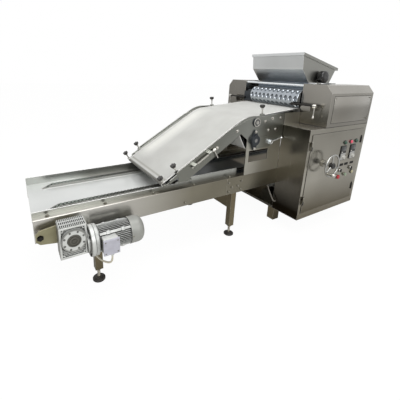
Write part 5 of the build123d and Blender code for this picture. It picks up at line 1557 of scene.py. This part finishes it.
# Solid colours: olive plate, dark blue bearing castings, and enamel with a soft black shine
olive_paint = painted("olive_painted_plate", "827d5e", "948f70")
navy_paint = painted("dark_blue_painted_iron", "1e2328", "2a3036", rough=(0.4, 0.55))
black_enamel = painted("black_enamel", "1b1a19", "272625", rough=(0.3, 0.42))

# Phenolic resin, moulded: brown-black on hand knobs, and a deep gloss on the hopper's
phenolic = moulded("phenolic_knob", "2a2826", "3b3937", rough=(0.34, 0.46))
gloss_phenolic = moulded("gloss_phenolic", "141414", "1e1e1e", rough=(0.12, 0.2), depth_mm=0.005)
# ABS, moulded: satin, with a fine grain; laminate labels are matt, windows smooth
black_abs = moulded("black_abs", "161616", "222221", rough=(0.36, 0.48))
label_laminate = moulded("black_label_laminate", "080808", "0e0e0e", rough=(0.5, 0.6), Specular_IOR_Level=0.2)
grey_abs = moulded("grey_abs", "9b9c9a", "abacaa")
pale_abs = moulded("pale_abs", "b9b8b2", "c9c8c2")
lid_plastic = moulded("lavender_grey_abs", "aeaeb8", "bcbcc6", rough=(0.38, 0.5))
smoked_window = moulded("smoked_window", "3a3c3d", "4a4c4d", rough=(0.08, 0.14), depth_mm=0.002)
red_cap = moulded("red_button", "a3121f", "b81d2a", rough=(0.22, 0.32))
green_cap = moulded("pale_green_button", "7d8f76", "8d9e86", rough=(0.22, 0.32))
# Rubber and PVC: matt and dark under the feet, soft cream on the cable, which goes into shade at its far end
foot_rubber = moulded("foot_rubber", "25221f", "332f2b", rough=(0.5, 0.65))
cream_pvc = moulded("cream_pvc", "c4bda8", "d2ccbb", rough=(0.4, 0.52), tones=[
    (along_share, "X", 1350, 1150, "77726a"),
])
# Lamp lenses: clear-coated coloured plastic, smooth and glossy, the red one lit
LENS = {"rough": (0.1, 0.18), "depth_mm": 0.002, "Coat_Weight": 0.5}
lamp_materials = {
    "green": moulded("green_lens", "12402c", "1c523a", **LENS),
    "red": moulded("lit_red_lens", "e0405c", "f06a80", **LENS),
    "yellow": moulded("yellow_lens", "a19c78", "b3ae8b", **LENS),
}
canvas = woven_canvas()


def dress_nodes():
    dress(stainless_panel, "housing_near", "base_pan")
    dress(stainless_cabinet, "cabinet_near")
    dress(stainless_door, "cabinet_door")
    dress(stainless_case, "far_case")
    dress(stainless_profile, "side_channels")
    dress(stainless_support, "support_plates")
    dress(stainless_bed, "conveyor_bed")
    dress(stainless_rail, "tray_rails")
    dress(stainless_leg, "leg_frames")
    dress(stainless_side, "incline_sides", "slider_bed", "belt_bars")
    dress(stainless_hopper, "hopper")
    dress(feed_steel, "feed_roller")
    dress(roller_steel, "pressure_roller", "crest_roller", "return_roller", "tray_idler", "tray_drive")
    dress(polished_bar, "tie_bar")
    dress(cover_paint, "gearbox_cover")
    dress(cowl_paint, "fan_cowl")
    dress(black_abs, "motor_fan")
    dress(olive_paint, "torque_arm")
    dress(navy_paint, "bearing_housings")


make_camera()
make_cable()
make_stage()
dress_nodes()
make_channels()
make_frame_bolts()
make_chains()
make_feet()
make_gearbox()
make_motor()
make_main_motor()
make_belt()
make_hand_screws()
make_tension_screws()
make_belt_lever()
make_side_plate_fittings()
make_plate_lips()
make_die_roller()
make_clamp_rods()
make_hopper_knob()
make_housing_covers()
make_door_gap_shade()
make_handwheel()
make_controllers()
make_lamps()
make_door_switches()
make_latches_and_hinges()
